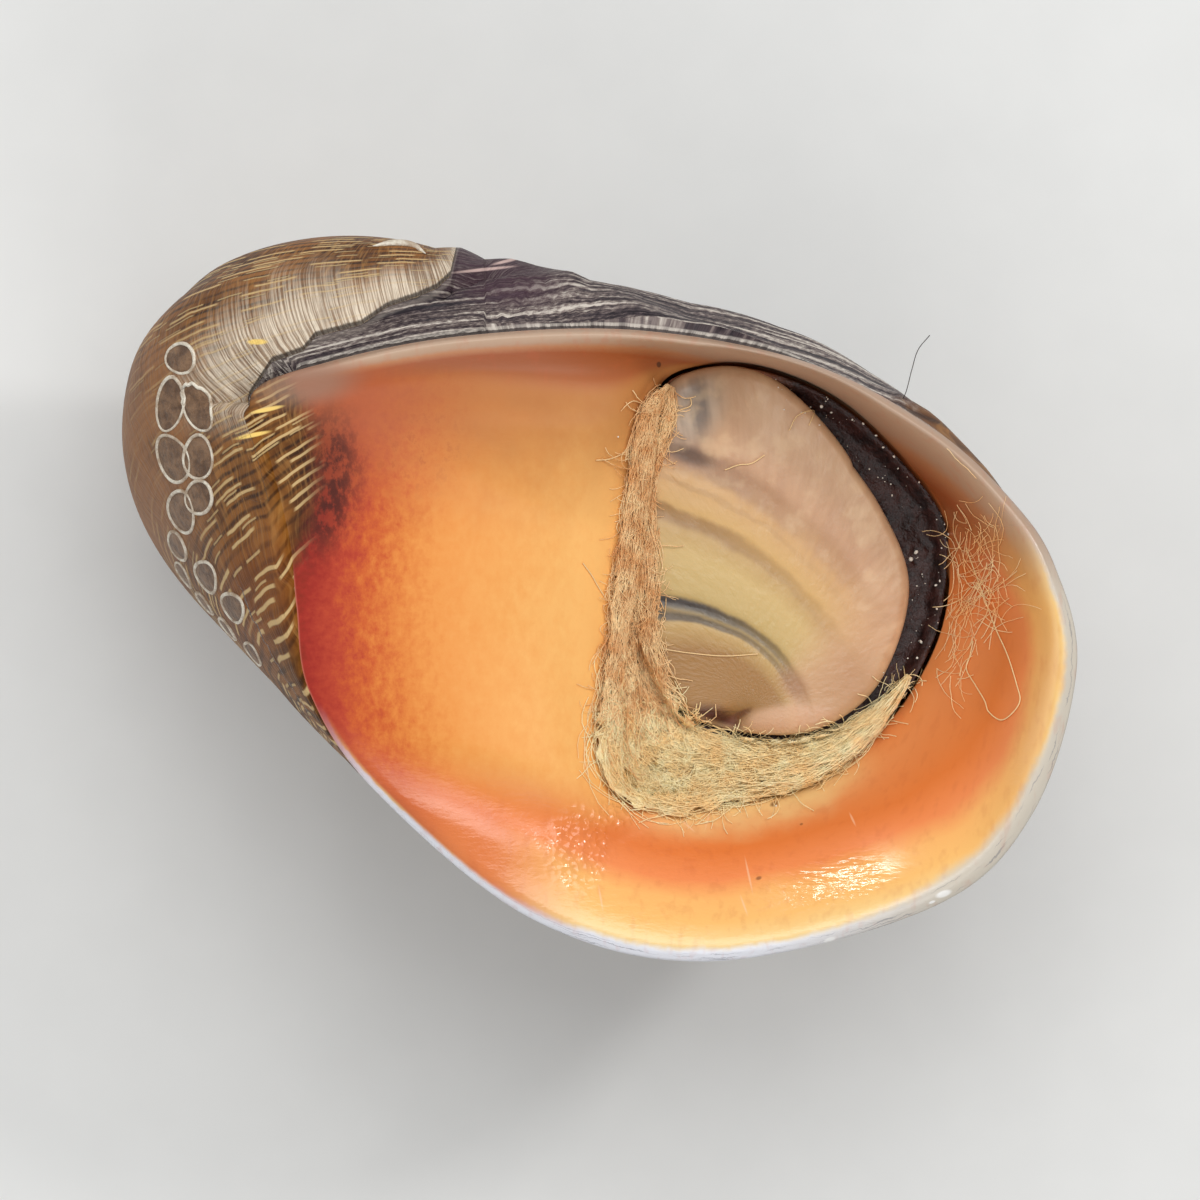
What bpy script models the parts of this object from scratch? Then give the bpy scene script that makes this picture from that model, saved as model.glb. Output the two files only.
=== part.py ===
"""A nerite shell lying on its back, mouth up, closed by its own operculum.

The shell is drawn in a mouth frame, in millimetres: X to the right across the mouth, Y towards
the spire, Z out of the mouth, with the rim of the lip near Z = 0. The last step lifts that frame
until the back of the shell reaches the floor, cuts the flat spot and changes to metres.
"""

import math

import bmesh
import bpy
from mathutils import Matrix, Quaternion, Vector
from mathutils.bvhtree import BVHTree

MM = 0.001

# Driving sizes of the shell, in millimetres
WALL = 1.3
LIP_DEPTH = 4.6
COLUMELLA_DEPTH = 2.6
DECK_SWELL = 0.35
DECK_EDGE = 1.0
DECK_THICKNESS = 2.2
LIP_THICKNESS = 2.0
RIM_WIDTH_TOP = 0.55
RIM_WIDTH_BASE = 1.05
RIM_ROUND = 0.3

# Growth spiral: its pole, its axis towards the spire, and how much a turn enlarges the whorl
SPIRAL_POLE = Vector((-5.60, 10.17, -5.67))
SPIRAL_AXIS = Vector((0.157, 1.0, -0.365)).normalized()
WHORL_EXPANSION = 7.5
TURNS = 2.25
OLDER_FROM = math.radians(165.0)

# Shoulder: how far the last whorl stands out over its upper lip, and how soon behind the lip
SHOULDER = 2.15
SHOULDER_CENTRE = 1.8
SHOULDER_REACH = 13.7
SHOULDER_TURN = math.radians(15.8)
UPPER_CHORD = (Vector((-10.5, 6.2)), Vector((13.2, 2.2)))

# The base of the shell is filled out between the whorls up to this height
BASE_TOP = 6.0

# The back is rounded out by half an ellipsoid: its middle, the turn of its long axis in the
# plane of the mouth, its half sizes, and the plane that cuts it off, lower on the spire's side
DOME_MIDDLE = Vector((0.5, 0.25, 0.0))
DOME_TURN = math.radians(-25.0)
DOME_HALF = (13.8, 8.75, 16.2)
DOME_BLEND = 0.6
DOME_TOP = Vector((0.0, 0.0, -0.4))
DOME_TOP_NORMAL = Vector((-0.3, 0.0, 1.0)).normalized()
DOME_TOP_ROUND = 2.5

# Outlines across the mouth, anticlockwise from the right, as points of smooth closed curves
LIP_OUTLINE = [
    (14.45, -2.1), (13.8, 1.0), (12.5, 3.0), (10.1, 5.2), (6.3, 7.2), (1.1, 8.18),
    (-4.2, 8.0), (-8.3, 7.2), (-10.55, 6.25), (-10.0, 4.3), (-9.4, 1.8), (-9.2, -0.2),
    (-8.8, -2.8), (-6.8, -5.8), (-2.0, -9.7), (3.4, -10.95), (10.1, -9.3), (13.1, -6.5),
]
MOUTH_OUTLINE = [
    (10.65, 1.0), (10.35, 2.9), (7.8, 5.7), (5.4, 6.95), (3.3, 7.15), (1.75, 6.4),
    (1.3, 3.6), (0.9, 0.8), (0.5, -1.6), (0.4, -4.0), (0.8, -5.9), (3.2, -6.05),
    (6.2, -5.5), (8.6, -3.9), (10.2, -1.4),
]
MOUTH_CENTRE = Vector((4.85, 0.3))

# The operculum: a thin lid, a little lower at the lip than at the columella
OPERCULUM_OUTLINE = [
    (9.4, 0.3), (8.6, 2.7), (6.9, 5.0), (5.2, 6.5), (3.6, 6.8), (2.2, 6.2),
    (1.95, 4.6), (1.5, 2.2), (1.3, 0.8), (1.75, -1.6), (2.6, -3.4), (4.6, -4.05),
    (6.7, -3.9), (8.5, -2.5),
]
OPERCULUM_CENTRE = Vector((5.3, 1.2))
OPERCULUM_LEFT = 1.3
OPERCULUM_HEIGHT_LEFT = -3.25
OPERCULUM_SLOPE = -0.13
OPERCULUM_THICKNESS = 0.6
NUCLEUS = Vector((4.35, -3.55))
NUCLEUS_RADIUS = 0.55
NUCLEUS_RISE = 0.3

# Dried foot: the dark plug under the lid
FOOT_GAP = 0.35
FOOT_DEPTH = 2.2

# Dried membrane: stations of its middle line from the top, each with its half width
MEMBRANE_PATH = [
    (1.75, 6.2, 0.3), (1.5, 5.0, 0.38), (1.35, 3.6, 0.3), (1.1, 2.0, 0.32), (0.95, 0.6, 0.36),
    (0.95, -0.9, 0.48), (1.25, -2.4, 0.62), (1.7, -3.9, 0.85), (2.9, -4.85, 0.75),
    (4.4, -5.05, 0.6), (6.0, -4.85, 0.5), (7.5, -4.2, 0.38), (8.7, -3.2, 0.25),
]
MEMBRANE_THICKNESS = 0.3
MEMBRANE_GAP = 0.2
MEMBRANE_FLOOR = -4.1
MEMBRANE_STEPS = 22
MEMBRANE_ACROSS = 5

# Egg cases on the older whorl: middle, width, height and lean in degrees, seen from the front
EGG_CASES = [
    (-12.75, 7.33, 0.85, 0.91, 0), (-13.05, 5.94, 0.82, 1.63, -5), (-12.22, 5.85, 0.82, 1.57, 3),
    (-12.97, 4.28, 0.9, 1.5, 22), (-12.19, 4.32, 0.88, 1.33, 0), (-12.72, 2.67, 0.9, 1.3, 10),
    (-12.19, 3.1, 0.8, 1.0, 0), (-12.85, 1.63, 0.8, 0.95, 10), (-11.97, 0.7, 0.94, 1.03, 0),
    (-12.68, 0.78, 0.7, 0.9, 10), (-11.15, -0.24, 0.95, 0.95, 0), (-12.03, -0.09, 0.8, 0.8, 15),
    (-11.33, -0.86, 0.8, 0.8, 15), (-10.55, -1.63, 0.76, 0.8, 20),
]
EGG_RIM_RADIUS = 0.11
EGG_LEAST_SLANT = 0.6
EGG_STEPS = 10

# The solid is measured outwards from this point inside the shell
SHELL_CENTRE = Vector((0.0, 0.0, -6.5))

# Mesh steps
COLUMNS = 240
OUTER_ROWS = 90
FACE_ROWS = (0.08, 0.16, 0.25, 0.35, 0.46, 0.57, 0.68, 0.78, 0.86, 0.92, 0.97)
CAVITY_ROWS = 12
SHELL_TRIANGLES = 5600
OPERCULUM_STEPS = 36
SWEEP_STEP = math.radians(3.0)
OUTLINE_STEPS = 160
CURVE_STEPS = 400

# From the mouth frame to the shell at rest: middle of its outline over the origin, back on the floor
REST_SHIFT = Vector((0.035, -0.045, 16.0))


def smooth_step(value, low, high):
    part = min(max((value - low) / (high - low), 0.0), 1.0)
    return part * part * (3.0 - 2.0 * part)


def blend(low, high, part):
    return low + (high - low) * part


def closed_curve(points, count):
    """Points of a smooth closed curve through the given ones."""
    corners = [Vector(point) for point in points]
    total = len(corners)
    result = []
    for index in range(count):
        place = index * total / count
        start = int(place)
        part = place - start
        before, first, second, after = (corners[(start + step) % total] for step in (-1, 0, 1, 2))
        slope_in = (second - before) / 2.0
        slope_out = (after - first) / 2.0
        square = part * part
        cube = square * part
        result.append(
            first * (2.0 * cube - 3.0 * square + 1.0)
            + slope_in * (cube - 2.0 * square + part)
            + second * (3.0 * square - 2.0 * cube)
            + slope_out * (cube - square)
        )
    return result


def open_curve(points, count):
    """Points of a smooth open curve through the given ones."""
    first, last = Vector(points[0]), Vector(points[-1])
    corners = [2.0 * first - Vector(points[1])] + [Vector(point) for point in points]
    corners.append(2.0 * last - Vector(points[-2]))
    spans = len(points) - 1
    result = []
    for index in range(count):
        place = min(index * spans / (count - 1), spans - 1e-9)
        start = int(place)
        part = place - start
        p0, p1, p2, p3 = corners[start:start + 4]
        square = part * part
        cube = square * part
        result.append(
            p1 * (2.0 * cube - 3.0 * square + 1.0)
            + (p2 - p0) * (0.5 * (cube - 2.0 * square + part))
            + p2 * (3.0 * square - 2.0 * cube)
            + (p3 - p1) * (0.5 * (cube - square))
        )
    return result


def polar_reach(curve, centre, angle):
    """Distance from the centre to a closed curve in the direction of an angle."""
    direction = Vector((math.cos(angle), math.sin(angle)))
    side = Vector((-direction.y, direction.x))
    for first, second in zip(curve, curve[1:] + curve[:1]):
        before = (first - centre).dot(side)
        beyond = (second - centre).dot(side)
        if before <= 0.0 < beyond:
            crossing = first.lerp(second, before / (before - beyond))
            reach = (crossing - centre).dot(direction)
            if reach > 0.0:
                return reach
    raise ValueError("the curve does not go round its centre")


def shoulder_weight(point):
    """How much of the shoulder a point of the lip takes: the upper lip only."""
    left, right = UPPER_CHORD
    chord = left.y + (right.y - left.y) * (point.x - left.x) / (right.x - left.x)
    along = math.exp(-(((point.x - SHOULDER_CENTRE) / SHOULDER_REACH) ** 2))
    return along * smooth_step(point.y - chord, -0.3, 1.2)


def grown(point, angle):
    """Where a point of the lip was, an angle of growth ago."""
    bulge = SHOULDER * shoulder_weight(point) * smooth_step(angle, 0.0, SHOULDER_TURN)
    arm = Vector((point.x, point.y + bulge, 0.0)) - SPIRAL_POLE
    size = WHORL_EXPANSION ** (-angle / math.tau)
    return SPIRAL_POLE + size * (Quaternion(SPIRAL_AXIS, angle) @ arm)


def whorl(first_angle, last_angle):
    """Points and faces of the whorl grown between two angles."""
    lip = closed_curve(LIP_OUTLINE, OUTLINE_STEPS)
    rings = round((last_angle - first_angle) / SWEEP_STEP)
    points = []
    for ring in range(rings + 1):
        angle = first_angle + ring * SWEEP_STEP
        points += [grown(point, angle) for point in lip]
    faces = []
    for ring in range(rings):
        low = ring * OUTLINE_STEPS
        high = low + OUTLINE_STEPS
        for step in range(OUTLINE_STEPS):
            after = (step + 1) % OUTLINE_STEPS
            faces.append((low + step, low + after, high + after, high + step))
    return points, faces


def base_hull(points):
    """The filled base: the convex hull of all that lies below BASE_TOP."""
    mesh = bmesh.new()
    for point in points:
        if point.y < BASE_TOP:
            mesh.verts.new(point)
    bmesh.ops.convex_hull(mesh, input=mesh.verts)
    tree = BVHTree.FromBMesh(mesh)
    mesh.free()
    return tree


def smooth_most(first, second, width):
    """The greater of two values, rounded over a width where they are near each other."""
    overlap = max(width - abs(first - second), 0.0)
    return max(first, second) + overlap * overlap / (4.0 * width)


def dome_reach(direction):
    """Distance from the shell's centre to the rounded back in a direction."""
    turn = Matrix.Rotation(-DOME_TURN, 3, "Z")
    start = turn @ (SHELL_CENTRE - DOME_MIDDLE)
    ray = turn @ direction
    square = sum((ray[axis] / DOME_HALF[axis]) ** 2 for axis in range(3))
    cross = sum(ray[axis] * start[axis] / DOME_HALF[axis] ** 2 for axis in range(3))
    rest = sum((start[axis] / DOME_HALF[axis]) ** 2 for axis in range(3)) - 1.0
    reach = (math.sqrt(cross * cross - square * rest) - cross) / square
    rise = direction.dot(DOME_TOP_NORMAL)
    if rise <= 0.0:
        return reach
    top = (DOME_TOP - SHELL_CENTRE).dot(DOME_TOP_NORMAL) / rise
    return -smooth_most(-reach, -top, DOME_TOP_ROUND)


class OuterForm:
    """The outside of the shell, found by rays cast at its centre."""

    FAR = 60.0

    def __init__(self):
        points, faces = whorl(0.0, TURNS * math.tau)
        self.whorls = BVHTree.FromPolygons(points, faces)
        self.base = base_hull(points)
        self.older = BVHTree.FromPolygons(*whorl(OLDER_FROM, TURNS * math.tau))

    def point(self, direction, wall=0.0):
        """The outermost point in a direction, or one a wall further in."""
        start = SHELL_CENTRE + direction * self.FAR
        best = 0.0
        for tree in (self.whorls, self.base):
            hit = tree.ray_cast(start, -direction)
            if hit[0] is not None:
                best = max(best, self.FAR - hit[3])
        best = smooth_most(best, dome_reach(direction), DOME_BLEND)
        return SHELL_CENTRE + direction * (best - wall)

    def held_in(self, place, wall):
        """A place, drawn towards the centre where it would leave too thin a wall."""
        arm = place - SHELL_CENTRE
        limit = self.point(arm.normalized(), wall)
        return place if arm.length < (limit - SHELL_CENTRE).length else limit

    def older_height(self, place, default):
        """Height of the older whorl under a place of the mouth's plane."""
        hit = self.older.ray_cast(Vector((place.x, place.y, self.FAR)), Vector((0.0, 0.0, -1.0)))
        return default if hit[0] is None else max(hit[0].z, default)


def deck_share(angle, inward):
    """1 on the flat inner deck and 0 on the outer lip, along a ray of the mouth."""
    upper_start = math.radians(blend(140.0, 104.0, inward))
    upper = smooth_step(angle, upper_start, upper_start + math.radians(16.0))
    lower_end = math.radians(blend(210.0, 238.0, inward))
    lower = 1.0 - smooth_step(angle, lower_end - math.radians(14.0), lower_end)
    return min(upper, lower)


def lip_height(inward, rim_part):
    """Height of the outer lip's inner face, from its edge (0) to the mouth (1)."""
    crest = 0.45 * rim_part
    if inward < crest:
        return -RIM_ROUND * (1.0 - inward / crest) ** 2
    return -LIP_DEPTH * ((inward - crest) / (1.0 - crest)) ** 1.35


def deck_height(inward, margin):
    """Height of the deck, from its outer margin (0) to the columellar edge (1)."""
    swell = DECK_SWELL * math.sin(math.pi * min(1.2 * inward, 1.0))
    return margin * (1.0 - inward) ** 2 + swell - COLUMELLA_DEPTH * inward ** 4


def mouth_column(form, lip, mouth, angle):
    """One ray of the mouth's face, from the lip's edge in to the mouth's edge."""
    direction = Vector((math.cos(angle), math.sin(angle)))
    lip_reach = polar_reach(lip, MOUTH_CENTRE, angle)
    width = lip_reach - polar_reach(mouth, MOUTH_CENTRE, angle)
    rim = blend(RIM_WIDTH_BASE, RIM_WIDTH_TOP, smooth_step(math.sin(angle), -0.3, 0.6))
    rim_part = min(rim / width, 0.6)
    margin = form.older_height(MOUTH_CENTRE + direction * lip_reach, -RIM_ROUND)
    inwards = [0.0, 0.45 * rim_part, rim_part]
    inwards += [blend(rim_part, 1.0, row) for row in FACE_ROWS] + [1.0]
    column = []
    for inward in inwards:
        share = deck_share(angle, inward)
        height = blend(lip_height(inward, rim_part), deck_height(inward, margin), share)
        place = MOUTH_CENTRE + direction * (lip_reach - inward * width)
        column.append(Vector((place.x, place.y, height)))
    return column


def fan(form, first, rows, wall):
    """Points of the outer form, or of the cavity, from a direction round to the back."""
    back = Vector((0.0, 0.0, -1.0))
    return [form.point(first.slerp(back, row / rows), wall) for row in range(1, rows)]


def shell_column(form, lip, mouth, angle):
    """One section of the whole shell: back, edge, mouth's face, deck's underside, cavity."""
    face = mouth_column(form, lip, mouth, angle)
    outer = fan(form, (face[0] - SHELL_CENTRE).normalized(), OUTER_ROWS, 0.0)
    share = deck_share(angle, 1.0)
    edge, corner = face[-1], face[0]
    outwards = Vector((math.cos(angle), math.sin(angle), 0.0))
    under = form.held_in(edge + 0.12 * outwards - Vector((0.0, 0.0, DECK_EDGE)), WALL)
    lip_top = Vector((edge.x, edge.y, -LIP_DEPTH - LIP_THICKNESS))
    deck_top = Vector((corner.x, corner.y, -DECK_THICKNESS))
    toward = (lip_top.lerp(deck_top, share) - SHELL_CENTRE).normalized()
    top = form.point(toward, WALL)
    underside = [under, under.lerp(top, 0.33), under.lerp(top, 0.67), top]
    return outer[::-1] + face + underside + fan(form, toward, CAVITY_ROWS, WALL)


def loft(mesh, loops, first_pole, last_pole):
    """A closed skin over loops of equal length, with a point at each end."""
    count = len(loops[0])
    rings = [[mesh.verts.new(point) for point in loop] for loop in loops]
    first, last = mesh.verts.new(first_pole), mesh.verts.new(last_pole)
    for step in range(count):
        after = (step + 1) % count
        mesh.faces.new((first, rings[0][step], rings[0][after]))
        for low, high in zip(rings, rings[1:]):
            mesh.faces.new((low[step], high[step], high[after], low[after]))
        mesh.faces.new((last, rings[-1][after], rings[-1][step]))
    bmesh.ops.recalc_face_normals(mesh, faces=mesh.faces)


def shell_skin(form):
    """The shell in the mouth frame: one closed skin with its cavity open at the mouth."""
    lip = closed_curve(LIP_OUTLINE, CURVE_STEPS)
    mouth = closed_curve(MOUTH_OUTLINE, CURVE_STEPS)
    angles = [math.tau * column / COLUMNS for column in range(COLUMNS)]
    columns = [shell_column(form, lip, mouth, angle) for angle in angles]
    back = Vector((0.0, 0.0, -1.0))
    mesh = bmesh.new()
    loft(mesh, list(zip(*columns)), form.point(back), form.point(back, WALL))
    return mesh


def lid_height(place):
    return OPERCULUM_HEIGHT_LEFT + OPERCULUM_SLOPE * (place.x - OPERCULUM_LEFT)


def shrunk(outline, centre, part, inset=0.0):
    """An outline drawn in towards its centre, by a part of its reach or by a width."""
    result = []
    for point in outline:
        arm = point - centre
        result.append(centre + arm * (part - inset / arm.length))
    return result


def operculum_skin():
    """The lid: a thin plate with a rounded edge and a small raised nucleus."""
    outline = closed_curve(OPERCULUM_OUTLINE, OPERCULUM_STEPS)
    top_rows = ((1.0, -0.5), (0.985, -0.15), (0.93, 0.0), (0.8, 0.03), (0.6, 0.0), (0.3, -0.05))
    bottom_rows = ((0.5, -1.0), (0.8, -1.0), (0.97, -0.85))
    loops = []
    for part, level in bottom_rows:
        loops.append([lid_point(place, level) for place in shrunk(outline, OPERCULUM_CENTRE, part)])
    for part, level in top_rows:
        loops.append([lid_point(place, level) for place in shrunk(outline, OPERCULUM_CENTRE, part)])
    mesh = bmesh.new()
    loft(mesh, loops, lid_point(OPERCULUM_CENTRE, -1.0), lid_point(OPERCULUM_CENTRE, -0.06))
    return mesh


def lid_point(place, level):
    """A point of the lid, a part of its thickness above or below its upper face."""
    rise = NUCLEUS_RISE * math.exp(-(((place - NUCLEUS).length / NUCLEUS_RADIUS) ** 2))
    if level < -0.6:
        rise = 0.0
    height = lid_height(place) + level * OPERCULUM_THICKNESS + rise
    return Vector((place.x, place.y, height))


def foot_skin(form):
    """The dried foot: a plug that fills the mouth under the lid."""
    wall = WALL + FOOT_GAP
    mouth = closed_curve(MOUTH_OUTLINE, 32)
    loops = []
    for part, down in ((0.5, 0.0), (0.9, 0.0), (0.98, 0.12), (0.93, 0.4), (0.7, 0.8), (0.35, 1.0)):
        loop = []
        for place in shrunk(mouth, MOUTH_CENTRE, part, FOOT_GAP * part):
            top = lid_height(place) - OPERCULUM_THICKNESS - FOOT_GAP
            point = Vector((place.x, place.y, top - down * FOOT_DEPTH))
            loop.append(form.held_in(point, wall))
        loops.append(loop)
    top = lid_height(MOUTH_CENTRE) - OPERCULUM_THICKNESS - FOOT_GAP
    first = Vector((MOUTH_CENTRE.x, MOUTH_CENTRE.y, top))
    last = Vector((MOUTH_CENTRE.x, MOUTH_CENTRE.y, top - FOOT_DEPTH))
    mesh = bmesh.new()
    loft(mesh, loops, first, last)
    return mesh


def bed_height(trees, place):
    """Highest surface under a place and just around it."""
    best = MEMBRANE_FLOOR
    for turn in range(9):
        angle = math.tau * turn / 8.0
        reach = 0.0 if turn == 8 else 0.3
        start = Vector((place.x + reach * math.cos(angle), place.y + reach * math.sin(angle), 9.0))
        for tree in trees:
            hit = tree.ray_cast(start, Vector((0.0, 0.0, -1.0)))
            if hit[0] is not None:
                best = max(best, hit[0].z)
    return best


def membrane_skin(shell, operculum):
    """The dried membrane: a thin ribbon that lies over the columellar edge and the lid's foot."""
    trees = [BVHTree.FromBMesh(shell), BVHTree.FromBMesh(operculum)]
    stations = open_curve(MEMBRANE_PATH, MEMBRANE_STEPS)
    lower_rows, upper_rows = [], []
    for index, station in enumerate(stations):
        before = stations[max(index - 1, 0)]
        beyond = stations[min(index + 1, MEMBRANE_STEPS - 1)]
        along = Vector((beyond.x - before.x, beyond.y - before.y)).normalized()
        across = Vector((-along.y, along.x))
        lower, upper = [], []
        for step in range(MEMBRANE_ACROSS):
            side = 2.0 * step / (MEMBRANE_ACROSS - 1) - 1.0
            place = Vector((station.x, station.y)) + across * (side * station.z)
            bottom = bed_height(trees, place) + MEMBRANE_GAP
            lower.append(Vector((place.x, place.y, bottom)))
            upper.append(Vector((place.x, place.y, bottom + MEMBRANE_THICKNESS)))
        lower_rows.append(lower)
        upper_rows.append(upper)
    loops = [lower + upper[::-1] for lower, upper in zip(lower_rows, upper_rows)]
    mesh = bmesh.new()
    first = sum(loops[0], Vector((0.0, 0.0, 0.0))) / len(loops[0])
    last = sum(loops[-1], Vector((0.0, 0.0, 0.0))) / len(loops[-1])
    loft(mesh, loops, first, last)
    bmesh.ops.triangulate(mesh, faces=mesh.faces[:])
    return mesh


def egg_case_rim(tree, case):
    """The raised rim of one egg case, laid on the shell where it is seen from the front."""
    middle_x, middle_y, width, height, lean = case
    down = Vector((0.0, 0.0, -1.0))
    middle, normal, _, _ = tree.ray_cast(Vector((middle_x, middle_y, 9.0)), down)
    across = Vector((normal.z, 0.0, -normal.x)).normalized()
    along = normal.cross(across)
    turn = Matrix.Rotation(math.radians(lean), 2)
    mesh = bmesh.new()
    loops = [[], [], [], []]
    for step in range(EGG_STEPS):
        angle = math.tau * step / EGG_STEPS
        flat = turn @ Vector((0.5 * width * math.cos(angle), 0.5 * height * math.sin(angle)))
        arm = flat.x / max(across.x, EGG_LEAST_SLANT) * across + flat.y * along
        hit, facing, _, _ = tree.find_nearest(middle + arm)
        outwards = (arm - facing * arm.dot(facing)).normalized()
        for loop, offset in zip(loops, (facing, outwards, -facing, -outwards)):
            loop.append(mesh.verts.new(hit + EGG_RIM_RADIUS * offset))
    for loop, beyond in zip(loops, loops[1:] + loops[:1]):
        for step in range(EGG_STEPS):
            after = (step + 1) % EGG_STEPS
            mesh.faces.new((loop[step], loop[after], beyond[after], beyond[step]))
    bmesh.ops.recalc_face_normals(mesh, faces=mesh.faces)
    return mesh


def cut_flat_spot(mesh):
    """Take off what lies below the floor, and close the cut with one flat face."""
    whole = mesh.verts[:] + mesh.edges[:] + mesh.faces[:]
    cut = bmesh.ops.bisect_plane(
        mesh, geom=whole, dist=1e-6, plane_co=(0, 0, 0), plane_no=(0, 0, -1), clear_outer=True
    )
    edges = [item for item in cut["geom_cut"] if isinstance(item, bmesh.types.BMEdge)]
    bmesh.ops.contextual_create(mesh, geom=edges)


def material(name, colour, roughness):
    result = bpy.data.materials.new(name)
    result.use_nodes = True
    shader = result.node_tree.nodes["Principled BSDF"]
    shader.inputs["Base Color"].default_value = (*colour, 1.0)
    shader.inputs["Roughness"].default_value = roughness
    shader.inputs["Metallic"].default_value = 0.0
    return result


def place_object(name, mesh, finish):
    """Turn a skin into an object."""
    data = bpy.data.meshes.new(name)
    mesh.to_mesh(data)
    mesh.free()
    data.materials.append(finish)
    data.shade_smooth()
    item = bpy.data.objects.new(name, data)
    bpy.context.scene.collection.objects.link(item)
    return item


def modified(item, *helpers):
    """The skin of an object as its modifiers shape it, with the objects taken away."""
    graph = bpy.context.evaluated_depsgraph_get()
    mesh = bmesh.new()
    mesh.from_object(item, graph)
    for used in (item, *helpers):
        bpy.data.objects.remove(used)
    return mesh


def thinned(item, triangles):
    """The same form in fewer triangles, most of them where it bends."""
    count = sum(len(face.vertices) - 2 for face in item.data.polygons)
    fewer = item.modifiers.new("fewer", "DECIMATE")
    fewer.decimate_type = "COLLAPSE"
    fewer.ratio = triangles / count
    fewer.use_collapse_triangulate = True
    return modified(item)


def fused(item, cutter):
    """The skin of two solids joined. The exact solver loses the shell at these small rims."""
    joint = item.modifiers.new("union", "BOOLEAN")
    joint.operation = "UNION"
    joint.solver = "MANIFOLD"
    joint.object = cutter
    return modified(item, cutter)


def main():
    for item in list(bpy.data.objects):
        bpy.data.objects.remove(item)
    shell_finish = material("shell_finish", (0.42, 0.16, 0.06), 0.35)
    lid_finish = material("operculum_finish", (0.45, 0.33, 0.19), 0.45)
    foot_finish = material("foot_finish", (0.03, 0.02, 0.02), 0.6)
    membrane_finish = material("membrane_finish", (0.75, 0.62, 0.45), 0.7)

    form = OuterForm()
    plain_shell = shell_skin(form)
    operculum = operculum_skin()
    membrane = membrane_skin(plain_shell, operculum)
    foot = foot_skin(form)
    surface = BVHTree.FromBMesh(plain_shell)
    shell = thinned(place_object("plain_shell", plain_shell, shell_finish), SHELL_TRIANGLES)
    for case in EGG_CASES:
        rim = place_object("egg_case", egg_case_rim(surface, case), shell_finish)
        shell = fused(place_object("plain_shell", shell, shell_finish), rim)

    pieces = (
        ("shell", shell, shell_finish),
        ("operculum", operculum, lid_finish),
        ("foot_tissue", foot, foot_finish),
        ("membrane", membrane, membrane_finish),
    )
    for name, mesh, finish in pieces:
        bmesh.ops.translate(mesh, vec=REST_SHIFT, verts=mesh.verts)
        if name == "shell":
            cut_flat_spot(mesh)
        bmesh.ops.scale(mesh, vec=(MM, MM, MM), verts=mesh.verts)
        place_object(name, mesh, finish)


if __name__ == "__main__":
    main()
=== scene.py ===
"""A nerite shell lying mouth up with its operculum, dried tissue, egg cases and loose fibres.

Shapes are worked out in millimetres in the mouth frame: X to the right across the mouth, Y towards
the spire, Z out of the mouth. REST_SHIFT and MM take them to the resting shell in metres, once, when
a mesh is made. Patterns are painted in millimetres of the resting shell.
"""

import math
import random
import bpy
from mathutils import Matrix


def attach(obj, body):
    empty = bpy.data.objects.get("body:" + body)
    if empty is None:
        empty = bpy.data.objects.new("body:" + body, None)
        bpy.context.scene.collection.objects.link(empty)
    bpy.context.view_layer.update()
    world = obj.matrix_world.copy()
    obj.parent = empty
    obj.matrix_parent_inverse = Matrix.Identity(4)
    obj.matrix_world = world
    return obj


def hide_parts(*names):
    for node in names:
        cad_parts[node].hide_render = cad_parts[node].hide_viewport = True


bl_info = {
    "name": "Nerite Shell",
    "version": (1, 0, 0),
    "blender": (4, 5, 0),
    "location": "View3D > Sidebar > Nerite",
    "description": "Builds a nerite shell with its operculum, dried tissue, egg cases and fibres",
    "category": "Object",
}

import bmesh
import bpy
import numpy as np
from mathutils import Vector, noise
from mathutils.bvhtree import BVHTree
from mathutils.kdtree import KDTree

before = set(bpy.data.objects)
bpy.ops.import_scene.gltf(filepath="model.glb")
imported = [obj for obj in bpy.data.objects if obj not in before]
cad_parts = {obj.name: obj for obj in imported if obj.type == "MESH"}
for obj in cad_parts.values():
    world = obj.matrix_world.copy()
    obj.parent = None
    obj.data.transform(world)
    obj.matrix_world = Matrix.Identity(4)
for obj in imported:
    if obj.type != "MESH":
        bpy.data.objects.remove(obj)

MM = 0.001
DOWN = Vector((0.0, 0.0, -1.0))
REST_SHIFT = np.array((0.035, -0.045, 16.0))

# The shell: sizes, growth spiral, shoulder and rounded back
WALL = 1.3
LIP_DEPTH = 4.6
COLUMELLA_DEPTH = 2.6
DECK_SWELL = 0.35
DECK_EDGE = 1.0
UNDER_LIP_DEPTH = 0.5
SEAM_RUN = (
    (-10.6, 6.15), (-9.91, 7.18), (-8.97, 7.5), (-8.6, 7.94), (-7.9, 8.12), (-7.2, 8.3),
    (-6.4, 8.85), (-5.5, 9.15), (-4.9, 9.42), (-4.5, 9.8), (-4.25, 10.9),
)
# How far the layers of the shoulder stand out above its own form, along X
SHOULDER_SWELL = (
    (-5.0, 0.0), (-4.2, 0.34), (-2.7, 0.42), (-1.8, 0.24), (-0.9, 0.18), (-0.3, -0.08), (0.9, -0.15),
    (2.7, -0.3), (3.6, -0.22), (5.5, -0.1), (6.4, 0.02), (7.3, 0.12), (8.2, 0.22), (9.1, 0.4),
    (10.0, 0.48), (10.9, 0.4), (12.7, 0.36), (13.4, 0.0),
)
FOLD_RUN = (
    (-7.3, -5.2), (-6.1, -5.75), (-4.8, -6.3), (-3.6, -6.85), (-2.4, -7.35), (-1.2, -7.55),
    (-0.3, -7.2), (0.6, -6.6), (1.4, -6.2),
)
FOLD_HEIGHT = 0.2
FOLD_WIDTH = 0.8
DECK_THICKNESS = 2.2
LIP_THICKNESS = 2.0
RIM_WIDTH_TOP = 0.55
RIM_WIDTH_BASE = 1.05
RIM_ROUND = 0.3
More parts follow.
